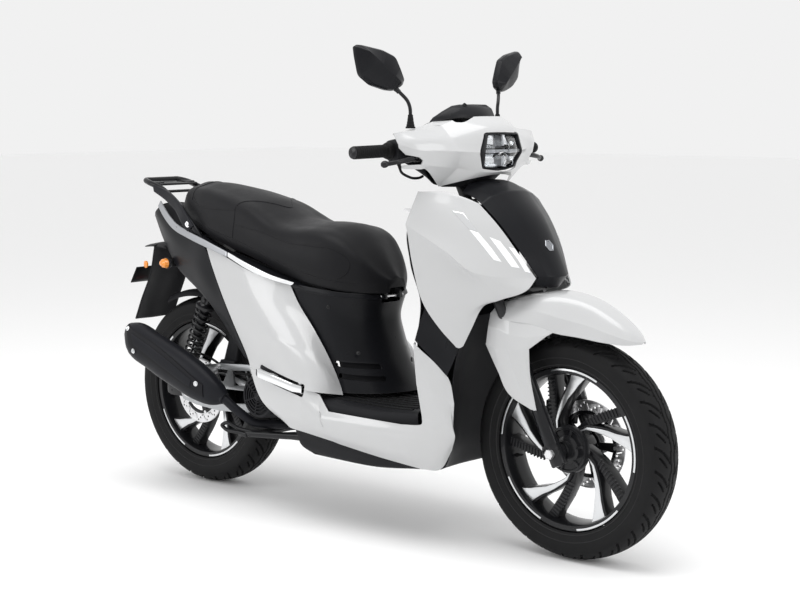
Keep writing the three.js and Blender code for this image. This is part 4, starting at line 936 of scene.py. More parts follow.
def build_tail_top():
    top = panel(
        "tail_top",
        surface(
            full_width([
                [[-163, -51, 833], [-168, -26, 836], [-169, 0, 837]],
                [[-112, -70, 806], [-114, -36, 822], [-114, 0, 826]],
                [[-66, -86, 778], [-66, -46, 796], [-66, 0, 800]],
                [[-22, -96, 764], [-22, -50, 776], [-22, 0, 778]],
            ]),
            (8, 8),
        ),
        (-80, 0, 600),
    )
    piece(top, "moulding", "chassis")


def build_tail_light():
    rings = [
        [[-200, -42, 792], [-214, 0, 790], [-200, 42, 792], [-176, 46, 748], [-178, 0, 744],
         [-176, -46, 748]],
        [[-150, -40, 796], [-150, 0, 797], [-150, 40, 796], [-132, 44, 752], [-132, 0, 750],
         [-132, -44, 752]],
    ]
    body = loft("tail_lamp", rings, bevel=4)
    piece(body, "red", "chassis", "tail_light")
    bars = [
        tube(
            f"bar{z}", [
                (-197 + 0.54 * (792 - z), -36, z), (-208 + 0.54 * (792 - z), 0, z - 1),
                 (-197 + 0.54 * (792 - z), 36, z)
            ], 2.2
        )
        for z in (782, 770, 758)
    ]
    piece(fuse("tail_lamp_bars", bars), "chrome", "chassis")


def build_pedestal():
    body = panel(
        "pedestal_cover",
        surface(
            full_width([
                [[486, -146, 634], [600, -140, 626], [672, -112, 624], [712, -60, 618], [722, 0, 616]],
                [[520, -146, 576], [618, -136, 560], [668, -96, 556], [700, -48, 554], [706, 0, 554]],
                [[560, -146, 510], [640, -136, 500], [682, -96, 494], [712, -50, 490], [722, 0, 488]],
                [[598, -146, 450], [664, -136, 444], [706, -96, 440], [738, -50, 436], [748, 0, 434]],
                [[640, -146, 386], [690, -142, 384], [738, -108, 382], [770, -56, 380], [784, 0, 378]],
                [[656, -146, 364], [700, -144, 364], [750, -110, 364], [784, -56, 364], [796, 0, 364]],
            ]),
            (8, 8), ((), ()),
        ),
        (500, 0, 500), 3, 0,
    )
    boolean(body, brick("notch", (682, -38, 600), (740, 38, 660), 4), "DIFFERENCE")
    for z, back, front in ((434, 640, 742), (404, 654, 756)):
        for side in (-1, 1):
            ends = sorted((side * 62, side * 170))
            vent = brick(
                "vent", (back, ends[0], z - 7), (front, ends[1], z + 7), 4, [0.1, "Y", (700, 0, z)]
            )
            boolean(body, vent, "DIFFERENCE")
    piece(body, "black", "chassis", "seat_pedestal")
    lining = panel(
        "pedestal_lining",
        surface(
            full_width([
                [[640, -130, 450], [688, -92, 446], [718, -50, 442], [728, 0, 440]],
                [[660, -134, 392], [712, -104, 390], [746, -54, 388], [758, 0, 386]],
            ]),
            (6, 6),
        ),
        (500, 0, 420), 2, 0,
    )
    piece(lining, "moulding", "chassis")
    lip = strip(
        "seat_lip_right",
        [[478, -149, 646], [560, -146, 640], [640, -128, 632], [690, -92, 628], [716, -46, 624],
         [722, -36, 623]],
        [[484, -151, 634], [566, -148, 627], [644, -131, 620], [694, -95, 616], [720, -48, 612],
         [726, -36, 611]],
        (500, 0, 560),
    )
    pair(lip, "black", "chassis")
    screws = []
    for at, out in (((700, -117, 470), (0.7, -0.7, 0)), ((610, -138, 590), (0.3, -0.95, 0))):
        screws.append(bolt("screw", at, out, 4, 2.5, 0.8))
    pair(fuse("pedestal_screws_right", screws), "black_metal", "chassis")


# ---------------------------------------------------------------- seat

seat_rim_line = [[-60, 800], [47, 786], [170, 748], [300, 719], [516, 662], [640, 640], [760, 632]]
seat_sections = [
    [-60, 60, 846, 856],
    [-30, 80, 886, 897],
    [40, 106, 897, 906],
    [130, 128, 889, 897],
    [220, 140, 871, 880],
    [290, 146, 852, 862],
    [340, 150, 829, 839],
    [390, 152, 808, 818],
    [440, 153, 800, 810],
    [540, 151, 801, 810],
    [590, 145, 795, 805],
    [630, 134, 776, 787],
    [664, 116, 744, 756],
    [694, 92, 710, 722],
    [718, 62, 682, 692],
    [736, 34, 664, 671],
]


def seat_rim(x):
    return float(np.interp(x, [a for a, _ in seat_rim_line], [b for _, b in seat_rim_line]))


def seat_ring(section):
    x, half, crown, centre = section
    low = seat_rim(x) + 8
    rise = crown - low
    right = [
        [0, low], [-0.8 * half, low], [-0.93 * half, low - 15], [-half, low + 0.14 * rise],
         [-0.97 * half, low + 0.55 * rise],
        [-0.84 * half, low + 0.88 * rise], [-0.5 * half, low + rise], [0, centre],
    ]
    left = [[-y, z] for y, z in reversed(right[1:-1])]
    return [[x, y, z] for y, z in right + left]


def seat_skin():
    rings = spline(np.array([seat_ring(s) for s in seat_sections]), 8)
    around = spline(np.swapaxes(rings, 0, 1), 6, (1, 2, 12, 13), True)
    return np.swapaxes(around, 0, 1)


def build_seat():
    grid = seat_skin()
    obj = loft("seat_cover", grid, sharp=50)
    tree = BVHTree.FromObject(obj, bpy.context.evaluated_depsgraph_get())

    def onto(points, lift, aim):
        """Points brought onto the cushion along a direction."""
        out = []
        for point in spline(points, 10):
            start = Vector(place(point))
            hit, normal, _, _ = tree.ray_cast(start - Vector(aim) * (1.2 if aim[2] else 0), Vector(aim))
            if hit is None:
                hit, normal, _, _ = tree.find_nearest(start)
            out.append(
                (np.array(hit) + np.array(normal) * lift / 1000 - np.array([rear_axle_x, 0, 0])) * 1000
            )
        return out

    piece(obj, "vinyl", "seat", "seat_cushion")
    seams = []
    down, out = (0, 0, -1), (0, 1, 0)
    tail_seam = [[22, y, 0] for y in (-96, -48, 0, 48, 96)]
    seams.append(tube("seam_tail", onto(tail_seam, 0.1, down), 1.4, 8, smooth=False))
    insert_front = [
        [238, -122, 0], [252, -84, 0], [300, -40, 0], [334, 0, 0], [300, 40, 0], [252, 84, 0],
         [238, 122, 0]
    ]
    seams.append(tube("seam_insert", onto(insert_front, 0.1, down), 1.4, 8, smooth=False))
    for side in (-1, 1):
        far, way = side * 300, (0, -side, 0)
        edge_seam = [[24, far, 868], [60, far, 846], [104, far, 838], [170, far, 836], [236, far, 838]]
        seams.append(tube("seam_edge", onto(edge_seam, 0.1, way), 1.2, 8, smooth=False))
        drop = [[236, far, 846], [244, far, 806], [240, far, 752]]
        seams.append(tube("seam_drop", onto(drop, 0.1, way), 1.2, 8, smooth=False))
        rider = [
            [252, far, 796], [350, far, 783], [466, far, 758], [560, far, 752], [620, far, 746],
             [650, far, 728], [664, far, 706], [660, far, 684], [636, far, 666]
        ]
        seams.append(tube("seam_rider", onto(rider, 0.1, way), 1.2, 8, smooth=False))
        hem = [
            [-36, far, 812], [120, far, 780], [300, far, 742], [470, far, 692], [600, far, 664],
             [680, far, 654]
        ]
        seams.append(tube("seam_hem", onto(hem, 0.1, way), 1.5, 8, smooth=False))
    piece(fuse("seat_seams", seams), "vinyl", "seat")
    rows = [
        [[x, y, seat_rim(x) + 7.5] for y in (-0.8 * h, -0.4 * h, 0, 0.4 * h, 0.8 * h)] for x,
         h in [(s[0], s[1]) for s in seat_sections[1:-1]]
    ]
    pan = panel("seat_pan", surface(rows, (6, 4)), (300, 0, 0), 4)
    piece(pan, "moulding", "seat", "seat_base")
    lugs = []
    for side in (-1, 1):
        lugs.append(
            slab("lug", [[(692, 642), (724, 640), (724, 611), (704, 608)]], side * 29 - 5, side * 29 + 5)
        )
    piece(fuse("seat_hinge_lugs", lugs), "black_metal", "seat")
    sill = strip(
        "seat_sill_right",
        [[-20, -84, 782], [47, -102, 768], [170, -120, 730], [300, -130, 702], [420, -134, 672],
         [516, -132, 646], [600, -124, 628]],
        [[-40, -108, 776], [44, -128, 752], [170, -148, 726], [300, -166, 694], [420, -168, 662],
         [516, -152, 640], [600, -142, 626]],
        (300, 0, 600), 3, 0.8,
    )
    pair(sill, "black", "chassis")
    pins = [
        turned(
            "pin", (713, -46, 617), (713, 46, 617), [
                (0, 0), (0, 7), (4, 7), (4, 4), (88, 4), (88, 7), (92, 7), (92, 0)
            ], 16
        )
    ]
    piece(fuse("seat_hinge_pin", pins), "steel", "chassis")


# ---------------------------------------------------------------- rack and mudguard


def build_rack():
    side = [
        (100, -86, 702), (84, -112, 742), (47, -125, 792), (-37, -101, 843), (-90, -86, 866),
         (-142, -76, 886),
        (-198, -74, 901), (-223, -62, 906), (-224, -40, 906), (-224, 0, 906),
    ]
    left = [(x, -y, z) for x, y, z in reversed(side[:-1])]
    parts = [tube("rail", side + left, 8.5, 18, 8)]
    parts.append(brick("deck", (-168, -72, 892), (-140, 72, 899.5), 3))
    parts.append(brick("slat", (-196, -72, 892), (-186, 72, 899.5), 2.5))
    parts.append(brick("slat_front", (-122, -78, 872), (-104, 78, 880), 2.5))
    parts.append(brick("grip_left", (-216, -70, 897), (-150, -52, 904), 3))
    parts.append(brick("grip_right", (-216, 52, 897), (-150, 70, 904), 3))
    piece(fuse("rack_frame", parts), "black_metal", "chassis", "grab_rail")
    strut = strip(
        "rack_strut_right",
        [[-170, -84, 896], [-96, -97, 880], [-37, -113, 858], [34, -133, 814], [66, -137, 784]],
        [[-166, -84, 874], [-96, -98, 850], [-37, -114, 824], [14, -132, 786], [40, -136, 766]],
        (0, 0, 800), 9, 3,
    )
    pair(strut, "muffler_black", "chassis")
    end = bolt("strut_bolt_right", (44, -134, 788), (0.1, -1, 0.15), 7, 5)
    pair(end, "steel", "chassis")


def build_mudguard():
    hood = panel(
        "mudguard_hood",
        surface(
            full_width([
                [[-128, -70, 704], [-132, -40, 712], [-134, 0, 714]],
                [[-180, -72, 708], [-184, -40, 716], [-186, 0, 718]],
                [[-236, -62, 704], [-242, -34, 708], [-244, 0, 709]],
            ]),
            (8, 6),
        ),
        (-150, 0, 500),
    )
    flap = panel(
        "mudguard_flap",
        surface(
            full_width([
                [[-176, -76, 712], [-190, -40, 714], [-192, 0, 714]],
                [[-200, -76, 620], [-212, -40, 622], [-214, 0, 622]],
                [[-238, -78, 545], [-250, -40, 545], [-252, 0, 545]],
                [[-270, -78, 478], [-280, -40, 476], [-282, 0, 475]],
            ]),
            (8, 6),
        ),
        (-100, 0, 600), 4,
    )
    piece(hood, "moulding", "chassis", "rear_mudguard")
    piece(flap, "moulding", "chassis", "rear_mudguard")
    bracket = loft(
        "mudguard_arm_right",
        [
            [[-60, -56, 730], [-60, -38, 730], [-60, -38, 716], [-60, -56, 716]],
            [[-150, -60, 716], [-150, -40, 716], [-150, -40, 702], [-150, -60, 702]],
        ],
        bevel=2,
    )
    pair(bracket, "black_metal", "chassis")
    lamp_stem = loft(
        "indicator_arm_right",
        [
            [[-112, -60, 676], [-74, -60, 676], [-74, -60, 650], [-112, -60, 650]],
            [[-108, -92, 672], [-78, -92, 672], [-78, -92, 652], [-108, -92, 652]],
        ],
        bevel=4,
    )
    pair(lamp_stem, "rubber", "chassis")
    centre, out = np.array([-94, -92, 662.0]), np.array([-0.35, -0.93, 0.0])
    lens = turned(
        "indicator_lens_right", centre, centre + out, [
            (0, 0), (0, 17), (8, 18), (17, 15), (23, 8), (24.5, 0)
        ], 28
    )
    lens.data.transform(
        Matrix.Translation(Vector(place(centre))) @ Matrix.Diagonal((1.25, 1, 0.85,
        1)) @ Matrix.Translation(-Vector(place(centre)))
    )
    pair(lens, "amber", "chassis")
    rim = turned(
        "indicator_shell_right", centre, centre + out, [
            (-6, 0), (-6, 14), (2, 20), (7, 20), (7, 17), (-2, 12), (-3, 0)
        ], 28
    )
    rim.data.transform(
        Matrix.Translation(Vector(place(centre))) @ Matrix.Diagonal((1.25, 1, 0.85,
        1)) @ Matrix.Translation(-Vector(place(centre)))
    )
    pair(rim, "moulding", "chassis")
    reflex_at = np.array([-212, -77, 650.0])
    reflex = turned(
        "side_reflex_right", reflex_at, reflex_at + np.array([-0.2, -1, 0]), [
            (0, 0), (0, 11), (4, 11), (5, 9), (5.4, 0)
        ], 24
    )
    pair(reflex, "amber", "chassis")
    back_reflex = turned(
        "rear_reflex", (-262, 0, 560), (-280, 0, 556), [(-6, 0), (-6, 20), (2, 20), (3, 18), (3.4, 0)], 30
    )
    piece(back_reflex, "red", "chassis")
    plate_arm = strip(
        "plate_holder",
        [[-252, -84, 640], [-256, 0, 640], [-252, 84, 640]],
        [[-282, -84, 590], [-286, 0, 590], [-282, 84, 590]],
        (-100, 0, 600), 3,
    )
    piece(plate_arm, "black_metal", "chassis")


# ---------------------------------------------------------------- steering head

lamp_half = [
    [1103, 0, 1064], [1092, -66, 1062], [1096, -82, 1014], [1080, -66, 974], [1088, -20, 968],
     [1090, 0, 967]
]


def on_axis(z):
    return np.array([wheelbase + 90 - z * math.tan(rake), 0, z])


def lamp_ring(share, shift, sideways=1.0):
    """The headlight's outline, grown or shrunk about its middle and moved along X."""
    ring = lamp_half + [[x, -y, z] for x, y, z in reversed(lamp_half[1:-1])]
    corners = np.array(
        [[x + shift, share * sideways * y, 1016 + share * (z - 1016)] for x, y, z in ring], float
    )
    rounded_ring = []
    count = len(corners)
    for i in range(count):
        before, at, after = corners[i - 1], corners[i], corners[(i + 1) % count]
        for t in np.linspace(0, 1, 5):
            a = at + (before - at) * 0.12 * (1 - t)
            b = at + (after - at) * 0.12 * t
            rounded_ring.append(a * (1 - t) + b * t)
    return np.array(rounded_ring)


def build_cowl():
    front = panel(
        "cowl_shell",
        surface(
            full_width([
                [[966, -281, 1061], [948, -238, 1066], [926, -180, 1070], [944, -135, 1082],
                 [962, -80, 1100], [970, 0, 1108]],
                [[974, -285, 1064], [984, -245, 1068], [1000, -185, 1072], [1006, -140, 1082],
                 [1028, -92, 1100], [1060, 0, 1104]],
                [[982, -284, 1046], [1004, -248, 1044], [1022, -196, 1046], [1040, -140, 1050],
                 [1086, -66, 1067], [1102, 0, 1070]],
                [[986, -283, 1038], [1014, -240, 1022], [1032, -190, 1020], [1062, -130, 1017],
                 [1089, -80, 1014], [1120, 0, 1014]],
                [[988, -271, 990], [1010, -230, 988], [1022, -180, 980], [1040, -118, 974],
                 [1082, -62, 964], [1096, 0, 964]],
                [[984, -267, 976], [1006, -228, 974], [1008, -199, 971], [1000, -143, 928],
                 [1056, -84, 947], [1082, 0, 957]],
            ]),
            (8, 8), ((1, 3, 4), (3, 7)),
        ),
        (960, 0, 1020), 3, 0,
    )
    opening = loft("opening", [lamp_ring(1.04, -60), lamp_ring(1.04, 60)])
    boolean(front, opening, "DIFFERENCE")
    window = [
        [-310, 1036], [-283, 1032], [-262, 1010], [-232, 1004], [-221, 996], [-223, 986], [-310, 983]
    ]
    for side in (-1, 1):
        outline = [[x, -side * y, z] for x in (940, 1060) for y, z in window]
        boolean(front, loft("window", [outline[:7], outline[7:]]), "DIFFERENCE")
    boolean(front, brick("display_seat", (900, -112, 1089), (1044, 112, 1150), 5), "DIFFERENCE")
    piece(front, "white", "steering", "cowl_front")
    rear = panel(
        "cowl_rear_cover",
        surface(
            full_width([
                [[924, -190, 1062], [922, -130, 1076], [934, -80, 1094], [940, 0, 1102]],
                [[900, -190, 1040], [892, -120, 1050], [890, -70, 1056], [888, 0, 1060]],
                [[904, -176, 990], [890, -110, 976], [886, -60, 970], [884, 0, 968]],
                [[940, -130, 972], [926, -92, 942], [916, -60, 928], [912, 0, 924]],
            ]),
            (8, 8),
        ),
        (1000, 0, 1016),
    )
    piece(rear, "moulding", "steering", "cowl_rear")
    collar = loft(
        "neck_collar",
        [
            [[922, -86, 966], [922, 86, 966], [1044, 72, 962], [1064, 0, 964], [1044, -72, 962]],
            [[936, -62, 922], [936, 62, 922], [1010, 50, 924], [1020, 0, 924], [1010, -50, 924]],
        ],
        bevel=5,
    )
    piece(collar, "moulding", "steering")


def build_display():
    hood = loft(
        "display_hood",
        [
            [[936, -110, 1087], [996, -96, 1096], [1018, -66, 1100], [1026, 0, 1102], [1018, 66, 1100],
             [996, 96, 1096], [936, 110, 1087]],
            [[944, -104, 1100], [994, -84, 1120], [1010, -60, 1124], [1014, 0, 1125], [1010, 60, 1124],
             [994, 84, 1120], [944, 104, 1100]],
            [[960, -84, 1116], [984, -74, 1132], [994, -54, 1135], [998, 0, 1136], [994, 54, 1135],
             [984, 74, 1132], [960, 84, 1116]],
        ],
        bevel=4,
    )
    piece(hood, "black", "steering", "cowl_rear")
    hole_at = np.array([1000.0, -40, 1130])
    eye = turned(
        "display_sensor", hole_at, hole_at + np.array([0.8, 0, 0.6]), [
            (0, 0), (0, 7), (4.5, 7), (5, 6), (5, 3.5), (2.5, 3), (2.5, 0)
        ], 24
    )
    piece(eye, "moulding", "steering")
    frame_part = loft(
        "display_frame",
        [
            [[934, -74, 1092], [956, -74, 1108], [956, 74, 1108], [934, 74, 1092]],
            [[926, -72, 1096], [950, -72, 1114], [950, 72, 1114], [926, 72, 1096]],
        ],
        bevel=2,
    )
    piece(frame_part, "moulding", "steering", "cowl_rear")
    screen = loft(
        "display_screen",
        [
            [[929, -66, 1098], [948, -66, 1111.5], [948, 66, 1111.5], [929, 66, 1098]],
            [[927, -66, 1099.5], [946, -66, 1113.5], [946, 66, 1113.5], [927, 66, 1099.5]],
        ],
        bevel=0.6,
    )
    piece(screen, "screen", "steering")


def build_headlight():
    bezel_rings = [
        lamp_ring(1.0, -46), lamp_ring(1.01, -8), lamp_ring(0.995, 0), lamp_ring(0.93, 2),
        lamp_ring(0.86, -6), lamp_ring(0.8, -30), lamp_ring(0.8, -46)
    ]
    bezel_rings.append(bezel_rings[0])
    bezel = loft("headlight_bezel", bezel_rings, ends=False)
    piece(bezel, "black", "steering", "headlight")
    bowls = []
    for z_mid, tall in ((1040, 17), (993, 17)):
        for side in (-1, 1):
            rings = []
            for share, depth in ((1.0, -6), (0.97, -14), (0.85, -26), (0.5, -36), (0.1, -39)):
                ring = []
                for a in np.arange(40) * 2 * math.pi / 40:
                    c, s = math.cos(a), math.sin(a)
                    y = side * 31 + share * 30 * np.sign(c) * abs(c) ** 0.45
                    z = z_mid + share * tall * np.sign(s) * abs(s) ** 0.45
                    ring.append([1094 + depth - 0.12 * abs(y), y, z])
                rings.append(ring)
            back = [[[x - 3, y, z] for x, y, z in ring] for ring in reversed(rings)]
            rings = rings + back
            rings.append(rings[0])
            bowls.append(loft("bowl", rings, ends=False))
    piece(fuse("headlight_reflectors", bowls), "reflector", "steering")
    glow = []
    for z in (1040, 993):
        for y in (-30, 30):
            glow.append(
                turned(
                    "projector", (1050, y, z), (1090, y, z), [
                        (0, 0), (0, 10), (8, 10), (13, 7), (15, 0)
                    ], 24
                )
            )
    piece(fuse("headlight_projectors", glow), "light_bar", "steering")
    bars = [
        brick("bar", (1074, -72, 1012), (1094, 72, 1021), 3),
        loft(
            "web_left", [
                [[1070, -8, 1030], [1094, -5, 1030], [1094, 5, 1030], [1070, 8, 1030]],
                 [[1070, -3, 1058], [1090, -2, 1058], [1090, 2, 1058], [1070, 3, 1058]]
            ]
        ),
        loft(
            "web_low", [
                [[1070, -4, 978], [1090, -3, 978], [1090, 3, 978], [1070, 4, 978]],
                 [[1070, -9, 1004], [1094, -6, 1004], [1094, 6, 1004], [1070, 9, 1004]]
            ]
        ),
    ]
    piece(fuse("headlight_bars", bars), "trim_grey", "steering")
    back = loft("headlight_tub", [lamp_ring(0.8, -56), lamp_ring(0.8, -50)])
    piece(back, "moulding", "steering")
    glass = [
        lamp_ring(0.87, -6), lamp_ring(0.7, 5), lamp_ring(0.4, 12), lamp_ring(0.1, 14),
        lamp_ring(0.1, 12), lamp_ring(0.4, 10), lamp_ring(0.7, 3), lamp_ring(0.87, -8)
    ]
    glass.append(glass[0])
    lens = loft("headlight_lens", glass, ends=False, sharp=60)
    piece(lens, "clear", "steering", "headlight")


def on_grip(y):
    grip_x = on_axis(1017)[0] + 4
    return np.array([grip_x + 14 + 0.123 * (y + 260), y, 1019 + 0.026 * (y + 260)])


def ribbed_profile(length, radius):
    """A grip's outline: a flange at the inner end, rings along it and a rounded outer end."""
    profile = [(0, 11.8), (0, radius - 2), (2, radius), (7, radius)]
    count = 13
    pitch = (length - 30) / count
    for i in range(count):
        at = 10 + i * pitch
        profile += [
            (at, radius), (at + pitch * 0.22, radius - 1.6), (at + pitch * 0.5, radius - 1.6),
             (at + pitch * 0.72, radius)
        ]
    profile += [
        (length - 14, radius), (length - 12, radius + 3), (length - 7, radius + 5), (length, radius + 5),
         (length, 11.8)
    ]
    return profile + [profile[0]]


def build_controls():
    bar_mid = [
        on_grip(-206), [951, -150, 1023], [957, -60, 1019], [957, 60, 1019], [951, 150, 1023],
        on_grip(-206) * [1, -1, 1]
    ]
    middle = tube("bar", bar_mid, 11, 20)
    ends = []
    for side in (1, -1):
        a, b = on_grip(-374), on_grip(-205)
        flip = np.array([1, side, 1])
        ends.append(turned("end", a * flip, b * flip, [(0, 0), (0, 11), (170, 11), (170, 0)], 24))
    clamp = turned("clamp", on_axis(985), on_axis(1012), [(0, 0), (0, 24), (28, 24), (28, 0)], 32)
    arm = tube("arm", [on_axis(995), (957, 0, 1019)], 15, 16, smooth=False)
    piece(fuse("handlebar_tube", [middle, *ends, clamp, arm]), "black_metal", "steering", "handlebar")
    outer, inner = on_grip(-253 - 118), on_grip(-253)
    right_grip = turned("grip_right", outer, inner, ribbed_profile(118, 16.2), 40)
    left_grip = mirrored_copy(right_grip, "grip_cover_left")
    right_grip.name = "throttle_sleeve"
    piece(right_grip, "rubber", "throttle", "throttle_grip")
    piece(left_grip, "rubber", "steering", "grip_left")
    weights = []
    for side in (1, -1):
        flip = np.array([1, side, 1])
        weights.append(
            turned(
                "weight", on_grip(-375.2) * flip, on_grip(-371.4) * flip, [
                    (0, 0), (0, 12), (1.2, 14.5), (3.6, 14.5), (3.6, 0)
                ], 32
            )
        )
    piece(fuse("bar_end_caps", weights), "black_metal", "steering")
    housing = loft(
        "switch_box_right",
        [
            [[916, -214, 1046], [946, -214, 1052], [964, -214, 1040], [962, -214, 992], [930, -214, 988],
             [914, -214, 1000]],
            [[914, -234, 1045], [944, -234, 1050], [962, -234, 1039], [959, -234, 993], [928, -234, 989],
             [911, -234, 1000]],
            [[914, -248, 1042], [940, -248, 1046], [958, -248, 1036], [955, -248, 995], [926, -248, 991],
             [911, -248, 1000]],
        ],
        bevel=4,
    )
    for z in (1006, 1012):
        bore = turned("bore", (902, -232, z), (924, -232, z), [(0, 0), (0, 6.8), (22, 6.8), (22, 0)], 24)
        boolean(housing, bore, "DIFFERENCE")
    pair(housing, "moulding", "steering", "switch_housing_right")
    clamp_parts = [
        brick("ear", (955, -223, 1010), (994, -205, 1015), 2),
        brick("ear_low", (955, -223, 993), (994, -205, 998), 2),
        turned(
            "pin", (984, -214, 991), (984, -214, 1017), [
                (0, 0), (0, 5), (2, 5), (2, 3.4), (24, 3.4), (24, 5), (27, 5), (27, 0)
            ], 16
        ),
    ]
    pair(fuse("lever_bracket_right", clamp_parts), "black_metal", "steering")
    blade_path = [
        (980, -216, 1004), (990, -224, 1004), (998, -238, 1002), (999, -262, 998), (990, -300, 992),
         (979, -318, 989)
    ]
    lever_parts = [
        tube("blade", blade_path, [[0, 7], [0.3, 6], [0.8, 4.4], [1, 5]], 14, 8, flat=1.25),
        turned(
            "ball", (983, -314, 990), (972, -334, 986.5), [
                (0, 0), (2, 5), (6, 8.2), (11, 9), (16, 8), (20, 4.5), (21.6, 0)
            ], 24
        ),
        turned(
            "root", (984, -214, 999), (984, -214, 1009), [
                (0, 4.2), (0, 9.5), (10, 9.5), (10, 4.2), (0, 4.2)
            ], 24
        ),
    ]
    pair(fuse("lever_right", lever_parts), "black_metal", "right_lever", "brake_lever_right")
    cable = tube(
        "throttle_hose", [
            (944, -231, 987), (947, -226, 966), (956, -206, 953), (952, -166, 949), (938, -132, 952)
        ], 3.4, 14, 10
    )
    ferrule = turned(
        "ferrule", (942.5, -233, 993), (946, -228, 972), [
            (0, 0), (0, 5.5), (10, 5.5), (11, 4.4), (20, 4.2), (20, 0)
        ], 20
    )
    piece(fuse("throttle_line", [cable, ferrule]), "rubber", "steering", "throttle_cable")
    reach = turned(
        "start_button", (909, -232, 1012), (898.6, -232, 1012), [
            (0, 0), (0, 6), (8.8, 6), (10.4, 4.6), (10, 3), (9.6, 0)
        ], 24
    )
    piece(reach, "red", "starter", "starter_button")
    horn = turned(
        "horn_knob", (909, 232, 1006), (898.6, 232, 1006), [
            (0, 0), (0, 6), (8.8, 6), (10.4, 4.6), (10, 3), (9.6, 0)
        ], 24
    )
    piece(horn, "moulding", "horn", "horn_button")
    slide = brick("indicator_slider", (899, 224, 1020), (910, 240, 1030), 1.6)
    piece(slide, "moulding", "indicator", "indicator_switch")


# Seen from the front: [y, z] from the ball joint, from the inner lower corner round.
mirror_outline = [
    [-6, -10], [20, 2], [27, 18], [16, 44], [0, 76], [-40, 92], [-110, 104], [-122, 98], [-119, 76],
     [-108, 28], [-74, 4], [-30, -8],
]


def mirror_ring(share, depth, across=None, soft=0.2):
    """The outline at a share of its size; across is the share at right angles to the ridge."""
    hub = np.array([914, -214, 1177.0])
    centre = np.array([-48, 48.0])
    ridge = np.array([-0.79, 0.61])
    corners = []
    for point in mirror_outline:
        away = np.array(point, float) - centre
        along = away.dot(ridge) * ridge
        corners.append(centre + share * along + (share if across is None else across) * (away - along))
    ring = []
    count = len(corners)
    for i in range(count):
        before, at, after = corners[i - 1], corners[i], corners[(i + 1) % count]
        for t in np.linspace(0, 1, 4):
            a = at + (before - at) * soft * (1 - t)
            b = at + (after - at) * soft * t
            ring.append(a * (1 - t) + b * t)
    return [[hub[0] + depth + 0.2 * (y + 30), hub[1] + y, hub[2] + z] for y, z in ring]


def build_mirrors():
    back = [
        mirror_ring(0.955, -9.5), mirror_ring(0.96, -12), mirror_ring(0.99, -12.5), mirror_ring(1, -10),
        mirror_ring(0.985, -2), mirror_ring(0.94, 4, 0.9), mirror_ring(0.72, 20, 0.04)
    ]
    head = loft("mirror_shell_right", back, sharp=24)
    pair(head, "black", "mirror_right", "mirror_head_right")
    glass = loft(
        "mirror_glass_right", [
            mirror_ring(0.94, -10.2), mirror_ring(0.94, -12.4), mirror_ring(0.93, -12.8)
        ], sharp=20
    )
    pair(glass, "mirror", "mirror_right")
    boot = turned(
        "mirror_boot_right", (938, -180, 1074), (938, -180, 1110),
        [(0, 0), (0, 12.5), (4, 12.5), (5, 10.5), (10, 10), (11, 9.2), (17, 8.8), (18, 8), (25, 7.6),
         (26, 7), (34, 6.4), (35, 4.6), (35, 0)], 28,
    )
    pair(boot, "rubber", "mirror_stem_right", "mirror_arm_right")
    stem = tube(
        "mirror_stem_tube_right", [
            (938, -180, 1104), (937, -181, 1126), (935, -186, 1140), (924, -202, 1162), (916, -212, 1174)
        ], 4.6, 16, 10
    )
    ball = turned(
        "ball", (922, -204, 1164), (912, -217, 1180), [
            (0, 0), (1, 6), (9, 6.4), (12, 7), (18, 7), (22, 4), (23, 0)
        ], 24
    )
    pair(fuse("mirror_stem_right", [stem, ball]), "black_metal", "mirror_stem_right", "mirror_arm_right")


# ---------------------------------------------------------------- fender and fork

up_fork = np.array([-math.sin(rake), 0, math.cos(rake)])
front_axle = np.array([wheelbase, 0, tyre_radius])


def on_leg(up, y=0.0):
    return front_axle + up_fork * up + np.array([0, y, 0])


def build_fender():
    top = panel(
        "fender_top",
        surface(
            full_width([
                [[1128, -92, 612], [1140, -82, 630], [1146, -60, 641], [1150, 0, 646]],
                [[1196, -104, 600], [1206, -84, 630], [1212, -62, 655], [1218, 0, 664]],
                [[1260, -88, 592], [1270, -80, 625], [1284, -54, 662], [1292, 0, 673]],
                [[1312, -76, 576], [1336, -72, 612], [1344, -48, 656], [1350, 0, 664]],
                [[1385, -70, 570], [1402, -62, 600], [1406, -40, 638], [1410, 0, 645]],
                [[1450, -58, 562], [1464, -50, 582], [1468, -32, 606], [1472, 0, 612]],
                [[1500, -34, 558], [1508, -28, 568], [1510, -16, 580], [1512, 0, 583]],
                [[1524, -8, 560], [1526, -6, 563], [1527, -3, 566], [1528, 0, 567]],
            ]),
            (8, 8), ((), (1, 5)),
        ),
        (1330, 0, 400), 3, 0.8,
    )
    piece(top, "white", "steering", "front_fender")
    cover = panel(
        "fender_cover_right",
        surface(
            [
                [[1128, -91, 613], [1162, -98, 608], [1196, -103, 601], [1258, -88, 593],
                 [1311, -76, 578]],
                [[1132, -106, 580], [1164, -112, 578], [1204, -115, 567], [1250, -104, 562],
                 [1300, -84, 570]],
                [[1128, -110, 534], [1160, -116, 530], [1202, -119, 530], [1242, -112, 532],
                 [1258, -104, 534]],
                [[1166, -112, 474], [1194, -116, 472], [1226, -118, 470], [1256, -112, 470],
                 [1264, -106, 470]],
                [[1212, -112, 410], [1236, -114, 408], [1260, -115, 408], [1276, -112, 410],
                 [1280, -109, 410]],
                [[1270, -112, 386], [1276, -112, 385], [1281, -112, 384], [1286, -112, 385],
                 [1288, -111, 385]],
            ],
            (8, 8), ((1, 2), (2,)),
        ),
        (1200, 0, 500), 3, 0.8,
    )
    pair(cover, "white", "steering", "front_fender")


